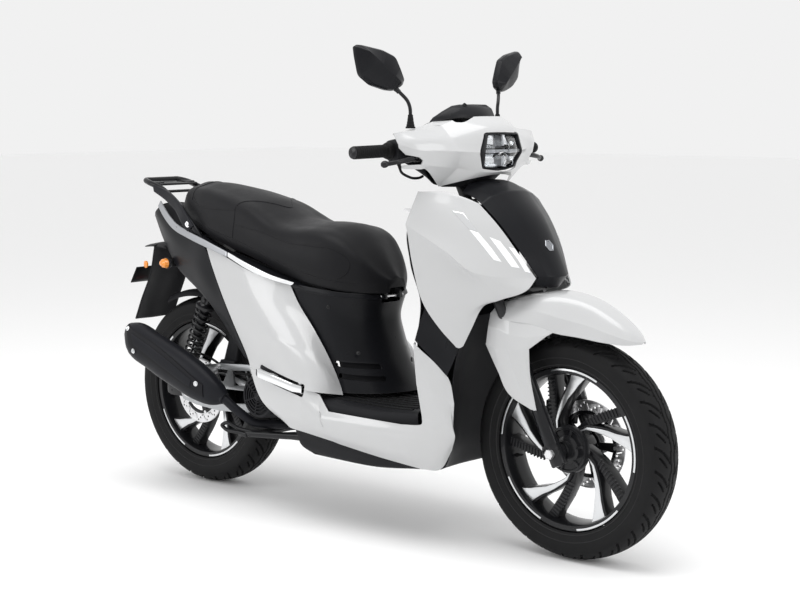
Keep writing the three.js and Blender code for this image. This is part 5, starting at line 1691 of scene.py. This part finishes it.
def build_fork():
    leg = turned(
        "fork_slider_right", on_leg(-34, -leg_half_gap), on_leg(250, -leg_half_gap),
        [(0, 14.5), (0, 18), (3, 21), (48, 21), (52, 19), (56, 19), (60, 19.6), (150, 19.6), (152, 18.6),
         (156, 18.6), (158, 19.6),
         (262, 19.6), (264, 21.5), (278, 21.5), (282, 20), (284, 18), (284, 14.6), (134, 14.6), (134, 0),
          (0, 0), (0, 14.5)], 36,
    )
    pair(leg, "black_metal", "fork_lower", "fork_leg_right")
    lug_at = on_leg(2, -leg_half_gap)
    lug = [
        turned(
            "boss", lug_at + [0, -14, 0], lug_at + [0, 22, 0], [
                (0, 9), (0, 18), (2, 20), (32, 20), (36, 18), (36, 9), (0, 9)
            ], 32
        ),
        brick("pinch", lug_at + np.array([-34, -10, -10]), lug_at + np.array([-14, 14, 10]), 3),
        bolt("pinch_bolt", lug_at + np.array([-24, -11, 0]), (0, -1, 0), 4, 4),
    ]
    pair(fuse("fork_foot_right", lug), "black_metal", "fork_lower")
    stanchion = turned(
        "stanchion_right", on_leg(178, -leg_half_gap), on_leg(448, -leg_half_gap), [
            (0, 0), (0, 13.6), (270, 13.6), (270, 0)
        ], 32,
    )
    pair(stanchion, "black_metal", "steering", "steering_stem")
    a, b = on_leg(430, -leg_half_gap), on_leg(430, leg_half_gap)
    yoke = [
        turned("yoke", a, b, [(-24, 0), (-24, 18), (-20, 21), (196, 21), (200, 18), (200, 0)], 28),
        turned("bridge", on_axis(694) + [4, 0, 0], on_leg(432), [(0, 0), (0, 20), (60, 20), (60, 0)], 24),
        turned("stem", on_axis(698), on_axis(994), [(0, 0), (0, 15), (330, 15), (330, 0)], 28),
    ]
    piece(fuse("steering_yoke", yoke), "black_metal", "steering", "steering_stem")
    end = leg_half_gap + 19
    shaft = turned(
        "axle_bolt", front_axle - [0, end + 14, 0], front_axle + [0, end + 10, 0],
        [(0, 0), (0, 10), (2, 13), (12, 13), (12, 8), (2 * end + 15, 8), (2 * end + 15, 13),
         (2 * end + 23, 13), (2 * end + 24, 0)], 6,
    )
    piece(shaft, "steel", "fork_lower", "front_axle")
    collar = [
        turned(
            "collar_right", front_axle - [0, 70, 0], front_axle - [0, 46.5, 0], [
                (0, 8.6), (0, 17), (6, 17), (8, 22), (20, 24), (23, 24), (23, 8.6), (0, 8.6)
            ], 32
        ),
        turned(
            "collar_left", front_axle + [0, 58, 0], front_axle + [0, 70, 0], [
                (0, 8.6), (0, 17), (12, 17), (12, 8.6), (0, 8.6)
            ], 32
        ),
    ]
    piece(fuse("axle_collars", collar), "black_metal", "fork_lower")
    caliper = [
        brick("body", (1214, 58, 318), (1276, 73, 384), 6),
        brick("outer", (1214, 34, 318), (1276, 50, 384), 5),
        brick("back", (1206, 42, 320), (1217, 72, 382), 3),
        slab("arm", [[(1240, 322), (1288, 326), (1292, 372), (1240, 384)]], 60, 68),
        turned(
            "piston_cap", (1240, 70, 346), (1240, 76, 346), [
                (0, 0), (0, 19), (4, 19), (6, 16), (6, 0)
            ], 32
        ),
        bolt("caliper_bolt", (1226, 73, 374), (0, 1, 0), 4.5, 4),
        bolt("caliper_bolt_low", (1264, 73, 326), (0, 1, 0), 4.5, 4),
    ]
    piece(fuse("front_brake", caliper), "black_metal", "fork_lower", "front_caliper")
    hose = tube(
        "front_brake_hose", [
            (1212, 72, 376), (1196, 84, 430), (1176, 96, 500), (1160, 90, 560), (1148, 78, 600)
        ], 3.6, 12
    )
    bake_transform(hose)
    material, slot_name = looks["rubber"]
    hose.data.materials.append(material)


# ---------------------------------------------------------------- wheels


def polar(x, radius, degrees):
    """A point of a wheel's face: [x, z] at a radius and an angle up from straight ahead."""
    angle = math.radians(degrees)
    return [x + radius * math.cos(angle), tyre_radius + radius * math.sin(angle)]


def circle(x, z, radius, count=64):
    angles = np.arange(count) * 2 * math.pi / count
    return [[x + radius * math.cos(a), z + radius * math.sin(a)] for a in angles]


def wheel_turned(name, x, profile, sides=72):
    """A piece turned about a wheel's axle; the profile holds [y, radius]."""
    start = np.array([x, 0, tyre_radius])
    return turned(name, start, start + [0, 1, 0], profile, sides)


def groove(angle, y):
    """How deep the tread is cut at a point, from 0 to 1."""
    side = 1 if y > 0 else -1
    away = abs(y)
    zigzag = 7.5 + 2.6 * (2 * abs((angle * 34 / (2 * math.pi) + 0.25 * side) % 1 - 0.5) * 2 - 1)
    if abs(away - zigzag) < 1.7:
        return 1.0
    pitch = 2 * math.pi / 29
    reach = tyre_radius
    shifted = angle + (0.5 * pitch if side > 0 else 0)
    if 13 < away < 50:
        bend = 0.16 * ((away - 13) / 37) ** 0.7
        if abs((shifted - bend + pitch / 2) % pitch - pitch / 2) * reach < 3.4:
            return 1.0
    if 22 < away < 44:
        bend = 0.5 * pitch + 0.2 * ((away - 13) / 37) ** 0.7
        if abs((shifted - bend + pitch / 2) % pitch - pitch / 2) * reach < 2.6:
            return 1.0
    return 0.0


def build_tyre(name, x, body, node):
    half = 54
    profile = spline(
        [
            [46, 208], [50, 222], [half, 244], [52, 260], [44, 269.5], [30, 276.5], [14, 280.3], [0, 281],
            [-14, 280.3], [-30, 276.5], [-44, 269.5], [-52, 260], [-half, 244], [-50, 222], [-46, 208],
        ],
        5,
    )
    inner = np.array([[-38, 207.5], [-20, 207.2], [20, 207.2], [38, 207.5]])
    side = np.gradient(profile, axis=0)
    normal = np.stack([side[:, 1], -side[:, 0]], axis=1)
    normal /= np.linalg.norm(normal, axis=1, keepdims=True)
    normal *= np.sign(normal[len(normal) // 2][1])
    steps = 900
    rings = []
    for i in range(steps + 1):
        angle = 2 * math.pi * (i % steps) / steps
        loop = []
        for (y, radius), (ny, nr) in zip(profile, normal):
            deep = 4.6 * groove(angle, y) if radius > 250 else 0
            y, radius = y - ny * deep, radius - nr * deep
            loop.append([x + radius * math.cos(angle), y, tyre_radius + radius * math.sin(angle)])
        for y, radius in inner:
            loop.append([x + radius * math.cos(angle), y, tyre_radius + radius * math.sin(angle)])
        rings.append(loop)
    tyre = loft(name, rings, ends=False, sharp=40)
    piece(tyre, "tyre", body, node)
    bands = []
    for side_y in (-1, 1):
        for radius, lift in ((232, 52.6), (214, 48.6)):
            bands.append(
                wheel_turned(
                    "band", x, [
                        (side_y * (lift - 1), radius - 2), (side_y * (lift + 0.6), radius),
                         (side_y * (lift - 1), radius + 2), (side_y * (lift - 1), radius - 2)
                    ], 120
                )
            )
    piece(fuse(name + "_bands", bands), "tyre", body)


def build_rim(name, x, first, body, node, hub_out, bore):
    """A cast wheel. first is the angle of its first bright blade, and hub_out the side of its centre cap."""
    barrel = wheel_turned(
        "barrel", x,
        [(-42, 192), (-42, 204), (-40, 206), (-34, 206), (-30, 196), (-16, 192), (16, 192), (30, 196),
         (34, 206), (40, 206),
         (42, 204), (42, 192), (36, 189), (12, 186), (-12, 186), (-36, 189), (-42, 192)], 144,
    )
    hub = wheel_turned(
        "hub", x, [
            (-46, bore), (-46, 30), (-42, 36), (-28, 40), (28, 40), (42, 36), (46, 30), (46, bore),
             (-46, bore)
        ], 64
    )
    parts = [barrel, hub]
    faces = []
    for k in range(5):
        turn = first + 72 * k
        lead = [(58, 47), (80, 38), (95, 29), (115, 20.5), (130, 15.5), (150, 9.8), (175, 6), (198, 4.5)]
        trail = [
            (198, -11), (184, -6.8), (165, -2.6), (148, 1.2), (126, 9), (108, 15.5), (92, 23.5),
             (76, 34.5), (58, 44)
        ]
        faces.append(slab("face", [[polar(x, r, turn + a) for r, a in lead + trail]], -29, -26, 0.6))
        edge = [(r, a + 380 / r) for r, a in lead] + [(r, a - 110 / r) for r, a in trail]
        body_outline = [(36, 70)] + edge + [(36, 30)]
        parts.append(slab("blade", [[polar(x, r, turn + a) for r, a in body_outline]], -27, 14, 1.2))
        spoke = [
            (36, 84), (62, 60), (90, 49), (130, 38), (170, 31), (199, 29), (199, 20), (170, 22.5),
             (130, 27), (90, 34), (62, 40), (36, 34)
        ]
        parts.append(slab("spoke", [[polar(x, r, turn + a) for r, a in spoke]], -20, 16, 1.5))
        for r in range(84, 188, 9):
            middle = float(np.interp(r, (62, 90, 130, 170, 199), (50, 41.5, 32.5, 26.8, 24.5)))
            half = 620 / r if r < 100 else 560 / r
            rib = [
                polar(x, r, turn + middle - half), polar(x, r + 4, turn + middle - half),
                polar(x, r + 9, turn + middle + half), polar(x, r + 5, turn + middle + half)
            ]
            parts.append(slab("rib", [rib], -22.5, -18, 0.6))
        arc = [
            polar(x, 203.6, turn + a) for a in np.linspace(-20, 20, 22)
        ] + [polar(x, 198.5, turn + a) for a in np.linspace(20, -20, 22)]
        faces.append(slab("arc", [arc], -43.2, -41.5, 0.4))
    piece(fuse(name, parts), "black_metal", body, node)
    piece(fuse(name + "_machined", faces), "machined", body)
    cap_parts = [
        wheel_turned(
            "cap", x,
            [(hub_out * 45.5, bore), (hub_out * 45.5, 28), (hub_out * 41, 32), (hub_out * 39, 50),
             (hub_out * 42, 52), (hub_out * 42, 57),
             (hub_out * 36, 60), (hub_out * 26, 61), (hub_out * 26, bore), (hub_out * 45.5, bore)], 72,
        )
    ]
    for k in range(6):
        a = 60 * k + 15
        rib = [polar(x, 22, a - 7), polar(x, 53, a - 3), polar(x, 53, a + 3), polar(x, 22, a + 7)]
        ys = sorted((hub_out * 38, hub_out * 44.5))
        cap_parts.append(slab("cap_rib", [rib], ys[0], ys[1], 0.6))
    piece(fuse(name + "_hub_cap", cap_parts), "black_metal", body)
    valve_at = np.array([polar(x, 187, -166)[0], 0, polar(x, 187, -166)[1]])
    inward = np.array([-math.cos(math.radians(-166)), -0.5, -math.sin(math.radians(-166))])
    valve = turned(
        name + "_valve", valve_at, valve_at + inward, [
            (0, 0), (0, 5), (8, 4), (10, 3), (26, 3), (27, 2), (32, 2), (32, 0)
        ], 16
    )
    piece(valve, "rubber", body)


def build_disc(name, x, y, radius, body, node):
    holes = []
    for k in range(15):
        for i, r in enumerate((radius - 7, radius - 15, radius - 23)):
            holes.append(circle(*polar(x, r, 24 * k + 6 * i), 2.9, 12))
        slot = [
            polar(x, radius - 25, 24 * k + 15), polar(x, radius - 9, 24 * k + 19),
            polar(x, radius - 9.5, 24 * k + 20.6), polar(x, radius - 25.5, 24 * k + 17)
        ]
        holes.append(slot)
    ring = slab(
        name, [
            circle(x, tyre_radius, radius, 120), circle(x, tyre_radius, radius - 30, 96), *holes
        ], y, y + 4, 0.3
    )
    piece(ring, "steel", body, node)
    windows = []
    for k in range(5):
        turn = 72 * k + 36
        window = [
            polar(x, 38, turn + a) for a in (-22, 0, 22)
        ] + [polar(x, radius - 36, turn + a) for a in (27, 14, 0, -14, -27)]
        windows.append(window)
    carrier = slab(
        name + "_carrier", [
            circle(x, tyre_radius, radius - 27, 96), circle(x, tyre_radius, 22, 48), *windows
        ], y - 0.6, y + 4.6, 0.8
    )
    piece(carrier, "black_metal", body, node)
    rivets = []
    for k in range(5):
        px, pz = polar(x, radius - 31, 72 * k)
        rivets.append(
            turned(
                "rivet", (px, y - 1.6, pz), (px, y + 5.6, pz), [
                    (0, 0), (0, 4), (1, 5), (6.2, 5), (7.2, 4), (7.2, 0)
                ], 20
            )
        )
        bx, bz = polar(x, 29, 72 * k)
        rivets.append(
            turned(
                "disc_bolt", (bx, y - 4, bz), (bx, y + 8, bz), [(0, 0), (0, 4.6), (12, 4.6), (12, 0)], 6
            )
        )
    piece(fuse(name + "_rivets", rivets), "steel", body)


# ---------------------------------------------------------------- power unit

crank = np.array([352, 0, 316.0])


def stadium(x0, z0, r0, x1, z1, r1, steps=24):
    lean = math.atan2(z1 - z0, x1 - x0)
    first = [
        [x0 + r0 * math.cos(lean + math.pi / 2 + math.pi * i / steps),
         z0 + r0 * math.sin(lean + math.pi / 2 + math.pi * i / steps)] for i in range(steps + 1)
    ]
    last = [
        [x1 + r1 * math.cos(lean - math.pi / 2 + math.pi * i / steps),
         z1 + r1 * math.sin(lean - math.pi / 2 + math.pi * i / steps)] for i in range(steps + 1)
    ]
    return first + last


def build_engine():
    block = slab("block", [stadium(360, 312, 60, 362, 316, 68)], -100, 55, 5)
    barrel = turned(
        "barrel", (396, -20, 336), (496, -20, 352), [(0, 0), (0, 40), (96, 40), (101, 36), (101, 0)], 32
    )
    fins = [
        turned(
            f"fin{i}", (400 + 11 * i, -20, 336.6 + 1.76 * i), (410 + 11 * i, -20, 338.2 + 1.76 * i), [
                (0, 36), (0, 50), (4.5, 50), (4.5, 36), (0, 36)
            ], 32
        ) for i in range(8)
    ]
    neck = slab("neck", [[(400, 250), (470, 234), (486, 252), (470, 272), (410, 300)]], -12, 36, 3)
    boss = turned(
        "boss", (470, -97, 252), (470, 53, 252), [
            (0, 10), (0, 17), (3, 20), (147, 20), (150, 17), (150, 10), (0, 10)
        ], 32
    )
    tube_part = turned(
        "axle_tube", (0, -101, 281), (0, -62, 281), [(0, 0), (0, 20), (3, 22), (39, 22), (39, 0)], 32
    )
    piece(
        fuse(
            "engine_block", [block, barrel, *fins, neck, boss, tube_part]
        ), "alloy", "power_unit", "engine_case"
    )
    cover = turned(
        "fan_cover", crank - [0, 158, 0], crank - [0, 100, 0],
        [(4, 0), (4, 50), (0, 52), (0, 57), (3, 60), (20, 63), (40, 66), (58, 68), (58, 0)], 64,
    )
    grille = []
    for r in (16, 25, 34, 43):
        grille.append(
            slab("arc", [circle(352, 316, r + 2, 48), circle(352, 316, r - 1.5, 48)], -160, -154.5, 0.6)
        )
    for k in range(6):
        a = math.radians(60 * k + 20)
        c, s = math.cos(a), math.sin(a)
        quad = [
            (352 + 10 * c - 1.8 * s, 316 + 10 * s + 1.8 * c),
             (352 + 51 * c - 1.8 * s, 316 + 51 * s + 1.8 * c),
              (352 + 51 * c + 1.8 * s, 316 + 51 * s - 1.8 * c),
               (352 + 10 * c + 1.8 * s, 316 + 10 * s - 1.8 * c)
        ]
        grille.append(slab("ray", [quad], -160, -154.5, 0.6))
    grille.append(
        turned(
            "boss", crank - [0, 161, 0], crank - [0, 154, 0], [
                (0, 0), (0, 10), (2, 12), (7, 12), (7, 0)
            ], 32
        )
    )
    for k in range(4):
        a = math.radians(90 * k + 40)
        grille.append(
            bolt("fan_bolt", crank + [60 * math.cos(a), -143, 60 * math.sin(a)], (0, -1, 0), 3.6, 3)
        )
    piece(cover, "moulding", "power_unit", "engine_case")
    piece(fuse("fan_grille", grille), "moulding", "power_unit")
    arm = slab(
        "swing_plate",
        [
            [(302, 386), (252, 390), (140, 382), (60, 370), (20, 354), (-26, 334), (-34, 318), (-36, 276),
             (-28, 258), (30, 246), (130, 240), (230, 246), (300, 258), (310, 300)],
            circle(0, 281, 14, 32),
            [(60, 352), (130, 364), (170, 366), (150, 330), (70, 320)],
            [(190, 366), (262, 372), (280, 330), (196, 322)],
            [(66, 300), (150, 308), (262, 312), (262, 276), (120, 262), (66, 270)],
        ],
        -100.5, -92, 2,
    )
    piece(arm, "alloy", "power_unit", "engine_case")
    knobs = [
        bolt("arm_bolt", (130, -100.5, 374), (0, -1, 0), 6, 5),
        bolt("arm_bolt_low", (284, -100.5, 272), (0, -1, 0), 6, 5),
        turned(
            "axle_nut", (0, -113, 281), (0, -101, 281), [
                (0, 0), (0, 12), (1.5, 13.5), (9, 13.5), (9, 18), (12, 18), (12, 0)
            ], 6
        ),
        turned(
            "shock_pin", (-6, -127, 321), (-6, -92, 321), [
                (0, 0), (0, 8.5), (4, 8.5), (4, 6.8), (35, 6.8), (35, 0)
            ], 20
        ),
    ]
    shaft = turned(
        "rear_shaft", (0, -92, 281), (0, 76, 281), [(0, 0), (0, 13.6), (168, 13.6), (168, 0)], 32
    )
    piece(fuse("swing_bolts", knobs + [shaft]), "steel", "power_unit")
    caliper = [
        brick("body", (-118, -84, 262), (-62, -62, 318), 6),
        brick("outer", (-116, -50, 266), (-64, -40, 314), 4),
        brick("bridge", (-120, -82, 268), (-104, -44, 312), 3),
        slab(
            "hanger", [
                [(-100, 300), (-60, 316), (-14, 330), (-14, 300), (-40, 262), (-96, 262)]
            ], -91, -84, 1.5
        ),
        bolt("caliper_bolt", (-92, -86, 304), (0, -1, 0), 4.5, 4),
        bolt("caliper_bolt_low", (-88, -86, 276), (0, -1, 0), 4.5, 4),
    ]
    piece(fuse("rear_caliper", caliper), "black_metal", "power_unit")
    hose = tube(
        "rear_brake_hose", [
            (-84, -76, 316), (-72, -79, 366), (-20, -79, 396), (60, -79, 392), (112, -82, 376),
             (150, -92, 362), (230, -96, 360), (300, -98, 366)
        ], 3.6, 12
    )
    piece(hose, "rubber", "power_unit")


def build_transmission():
    body = slab("case", [stadium(0, 285, 76, 352, 316, 84)], 58, 98, 5)
    boolean(
        body, turned(
            "hub_way", (0, 40, 281), (0, 64, 281), [(0, 0), (0, 48), (24, 48), (24, 0)], 40
        ), "DIFFERENCE"
    )
    boolean(
        body, turned(
            "shaft_way", (0, 50, 281), (0, 80, 281), [(0, 0), (0, 14.5), (30, 14.5), (30, 0)], 32
        ), "DIFFERENCE"
    )
    lid = slab("lid", [stadium(112, 295, 66, 352, 316, 78)], 97, 128, 6)
    face = slab("face", [stadium(120, 296, 44, 352, 316, 56)], 127, 134, 2.5)
    ribs = []
    for i in range(7):
        x = 150 + 28 * i
        ribs.append(
            brick(
                "rib", (x, 130, 268 + 1.5 * i), (x + 8, 136, 340 + 1.5 * i), 2, [0.5, "Y", (x, 132, 306)]
            )
        )
    lug = turned(
        "lug", (-6, 94, 321), (-6, 127, 321), [
            (0, 0), (0, 6.8), (29, 6.8), (29, 8.5), (33, 8.5), (33, 0)
        ], 20
    )
    piece(
        fuse("transmission_cover", [body, lid, face, *ribs, lug]), "black_metal", "power_unit", "cvt_case"
    )
    bolts = []
    for x, z in stadium(112, 295, 60, 352, 316, 72, 5):
        bolts.append(bolt("cover_bolt", (x, 128, z), (0, 1, 0), 4, 4))
    kick = turned(
        "shaft", (300, 134, 300), (300, 142, 300), [(0, 0), (0, 12), (6, 12), (8, 10), (8, 0)], 32
    )
    piece(fuse("transmission_bolts", bolts + [kick]), "steel", "power_unit")
    cleaner = loft(
        "air_cleaner",
        [
            [[122, 84, 400], [122, 122, 400], [124, 120, 436], [126, 84, 448]],
            [[146, 84, 402], [146, 134, 402], [148, 132, 452], [150, 84, 466]],
            [[206, 84, 408], [206, 134, 408], [206, 130, 450], [206, 84, 462]],
            [[238, 84, 410], [238, 122, 410], [236, 120, 438], [234, 84, 446]],
        ],
        bevel=9,
    )
    return cleaner


muffler_sections = [
    [-160, -190, 462, 20, 26],
    [-138, -190, 446, 32, 46],
    [-40, -188, 404, 36, 56],
    [60, -184, 366, 36, 58],
    [140, -178, 332, 34, 52],
    [200, -170, 306, 26, 34],
    [226, -164, 296, 14, 16],
]


def build_muffler():
    sections = spline(muffler_sections, 6)
    rings = []
    for x, y, z, half, tall in sections:
        ring = []
        for a in np.arange(40) * 2 * math.pi / 40:
            c, s = math.cos(a), math.sin(a)
            across = half * np.sign(c) * abs(c) ** 0.8
            up = tall * np.sign(s) * abs(s) ** 0.85
            ring.append([x + up * math.sin(0.36), y + across, z + up * math.cos(0.36)])
        rings.append(ring)
    can = loft("muffler_can", rings, bevel=0, sharp=50)
    piece(can, "muffler_black", "power_unit", "muffler")
    guard = laid_on(
        "muffler_guard", can,
        [
            [[-146, -230, 484], [-70, -240, 458], [60, -240, 402], [176, -240, 336]],
            [[-118, -230, 424], [-60, -240, 398], [70, -240, 342], [176, -240, 300]],
        ],
        3.0, 4.0, (8, 26),
    )
    piece(guard, "moulding", "power_unit")
    recess = laid_on(
        "muffler_guard_inlay", can,
        [
            [[-112, -230, 462], [-60, -240, 442], [50, -240, 394], [138, -240, 348]],
            [[-96, -230, 428], [-50, -240, 408], [56, -240, 360], [132, -240, 326]],
        ],
        4.2, 2.6, (8, 26),
    )
    piece(recess, "muffler_black", "power_unit")
    tree = BVHTree.FromObject(can, bpy.context.evaluated_depsgraph_get())
    heads = []
    for at in ((-134, -300, 472), (154, -300, 338), (-100, -300, 410)):
        start = Vector(place(at))
        hit, normal, _, _ = tree.ray_cast(start, Vector((0, 1, 0)))
        spot = (np.array(hit) - np.array([rear_axle_x, 0, 0])) * 1000 + np.array(normal) * 2.6
        heads.append(bolt("guard_bolt", spot, np.array(normal), 5.5, 3.5))
    piece(fuse("muffler_bolts", heads), "chrome", "power_unit")
    header = tube(
        "exhaust_pipe",
        [(215, -165, 300), (262, -148, 262), (300, -116, 228), (350, -74, 224), (404, -50, 226),
         (429, -40, 245), (436, -38, 259)],
        13, 20, 10,
    )
    outlet = turned(
        "tail_pipe", (-152, -190, 458), (-172, -191, 468), [
            (0, 0), (0, 12), (14, 11), (14, 8.5), (3, 8.5), (3, 0)
        ], 28
    )
    ring = turned(
        "joint_ring", (206, -168, 304), (226, -163, 294), [
            (0, 13), (0, 17), (8, 18), (16, 17), (16, 13), (0, 13)
        ], 28
    )
    piece(fuse("exhaust_header", [header, outlet, ring]), "muffler_black", "power_unit", "muffler")
    hanger = turned(
        "hanger", (120, -160, 360), (120, -101.6, 360), [(0, 0), (0, 10), (58, 10), (58, 0)], 24
    )
    piece(hanger, "steel", "power_unit")


def build_hugger():
    rows = []
    for angle in np.radians(np.linspace(50, 116, 7)):
        def at(r, y):
            return [r * math.cos(angle), y, tyre_radius + r * math.sin(angle)]
        reach = tyre_radius + 22
        rows.append([at(reach - 16, -70), at(reach - 3, -58), at(reach, 0)])
    skin = panel("rear_hugger_skin", surface(full_width(rows), (8, 6)), (0, 0, tyre_radius))
    piece(skin, "moulding", "power_unit", "rear_hugger")
    stay = slab("hugger_stay", [[(130, 376), (186, 384), (206, 490), (176, 506)]], -84, -66, 3)
    foot = brick("foot", (128, -91.6, 372), (188, -70, 392), 3)
    piece(fuse("hugger_bracket", [stay, foot]), "moulding", "power_unit", "rear_hugger")


def build_shocks():
    for side, word in ((-1, "right"), (1, "left")):
        y = side * 113
        top, foot = np.array([99.0, y, 566]), np.array([-6.0, y, 321])
        length = float(np.linalg.norm(foot - top))
        along = (foot - top) / length
        travel = 1000 * next(
            j["range_m"][1] for j in frame["joints"] if j["name"] == "damper_travel_" + word
        )
        can_end = length - 68 - travel - 4
        upper = [
            turned(
                "eye", top - [0, 11, 0], top + [0, 11, 0], [
                    (0, 6.6), (0, 14), (2, 15.5), (20, 15.5), (22, 14), (22, 6.6), (0, 6.6)
                ], 32
            ),
            turned(
                "can", top, foot, [
                    (can_end, 6.6), (can_end, 15), (24, 15), (24, 28), (16, 28), (14, 20), (9, 15),
                     (9, 0), (24, 0), (24, 6.6), (can_end, 6.6)
                ], 32
            ),
        ]
        piece(
            fuse("damper_body_" + word, upper), "black_metal", "damper_upper_" + word,
            "shock_upper_" + word
        )
        lower = [
            turned(
                "eye", foot - [0, 11, 0], foot + [0, 11, 0], [
                    (0, 9.6), (0, 14), (2, 15.5), (20, 15.5), (22, 14), (22, 9.6), (0, 9.6)
                ], 32
            ),
            turned(
                "sleeve", top, foot, [
                    (length - 66, 6), (length - 68, 20), (length - 66, 28), (length - 61, 28),
                     (length - 59, 12), (length - 10, 11), (length - 10, 0), (length - 66, 0)
                ], 32
            ),
        ]
        piece(
            fuse("damper_foot_" + word, lower), "black_metal", "damper_lower_" + word,
            "shock_lower_" + word
        )
        rod_start = can_end - 20
        rod_length = length - 8 - rod_start
        shaft = turned(
            "damper_rod_" + word, top + along * rod_start, foot - along * 8, [
                (0, 0), (0, 6), (rod_length, 6), (rod_length, 0)
            ], 24
        )
        piece(shaft, "chrome", "damper_lower_" + word, "shock_lower_" + word)
        helper = np.cross(along, [0, 1, 0])
        turns, start, end = 9.5, 24.5, length - 68.5
        coil = []
        for t in np.linspace(0, 1, 300):
            wind = 2 * math.pi * turns * t
            ease = start + (end - start) * t
            coil.append(
                top + along * ease + 22.5 * (
                    math.cos(wind) * helper + math.sin(wind) * np.array([0, 1, 0])
                )
            )
        spring = tube("shock_spring_" + word, coil, 3.4, 10, smooth=False)
        piece(spring, "black_metal", "damper_upper_" + word)
        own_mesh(spring)


# ---------------------------------------------------------------- stand and footpegs


def build_stand():
    half = 126
    shaft = turned(
        "shaft", (500, -half, 216), (500, half, 216), [(0, 0), (0, 9), (2 * half, 9), (2 * half, 0)], 24
    )
    parts = [shaft]
    for side in (-1, 1):
        leg = [(500, side * half, 216), (400, side * (half + 4), 207), (280, side * (half + 10), 198)]
        parts.append(tube("leg", leg, 10, 16))
        parts.append(
            brick(
                "foot", (
                    262, min(side * (half + 24), side * (half - 4)), 189
                ), (294, max(side * (half + 24), side * (half - 4)), 202), 4
            )
        )
        parts.append(
            slab(
                "gusset", [
                    [(512, 226), (470, 226), (420, 218), (420, 200), (500, 204)]
                ], side * half - 3, side * half + 3, 1
            )
        )
    loop = [
        (322, -134, 204), (262, -142, 210), (206, -150, 220), (196, -150, 213), (206, -150, 206),
         (262, -146, 200), (300, -140, 197)
    ]
    parts.append(tube("tang", loop, 5.5, 12, 10))
    parts.append(tube("tie", [(330, -half - 8, 201), (330, half + 8, 201)], 8, 16, smooth=False))
    piece(fuse("stand_frame", parts), "black_metal", "stand", "centre_stand")


def build_pegs():
    blade = loft(
        "peg_blade_right",
        [
            [[404, -214, 408], [404, -200, 408], [404, -200, 390], [404, -214, 390]],
            [[420, -222, 410], [420, -198, 410], [420, -198, 386], [420, -222, 386]],
            [[556, -226, 386], [556, -200, 386], [556, -200, 362], [556, -226, 362]],
            [[582, -216, 380], [582, -196, 380], [582, -196, 360], [582, -216, 360]],
        ],
        bevel=2.5,
    )
    pair(blade, "chrome", "peg_right", "footpeg_right")
    pin = turned(
        "peg_pin_right", (575, -206, 356), (569, -206, 390), [
            (0, 0), (0, 6.5), (3, 6.5), (3, 4), (30, 4), (30, 6.5), (33, 6.5), (33, 0)
        ], 16
    )
    pair(pin, "steel", "chassis")


# ---------------------------------------------------------------- the whole scooter

build_apron()
build_nose()
build_leg_shield()
build_belly_and_floor()
build_skirt()
build_trims()
build_tail()
build_tail_top()
build_tail_light()
build_pedestal()
build_seat()
build_rack()
build_mudguard()
build_cowl()
build_display()
build_headlight()
build_controls()
build_mirrors()
build_fender()
build_fork()
build_tyre("front_tyre_tread", wheelbase, "front_wheel", "front_tyre")
build_tyre("rear_tyre_tread", 0, "rear_wheel", "rear_tyre")
build_rim("front_wheel_casting", wheelbase, 12, "front_wheel", "front_rim", -1, 9)
build_rim("rear_wheel_casting", 0, 8, "rear_wheel", "rear_rim", 1, 15)
build_disc("front_brake_disc", wheelbase, 52, 113, "front_wheel", "front_disc")
build_disc("rear_brake_disc", 0, -56, 98, "rear_wheel", "rear_disc")
build_engine()
piece(build_transmission(), "moulding", "power_unit")
build_muffler()
build_hugger()
build_shocks()
build_stand()
build_pegs()

finish_node("main_frame", "black_metal")
finish_node("fuel_tank", "moulding")
finish_node("helmet_box", "moulding")
finish_node("ignition_key", "steel")
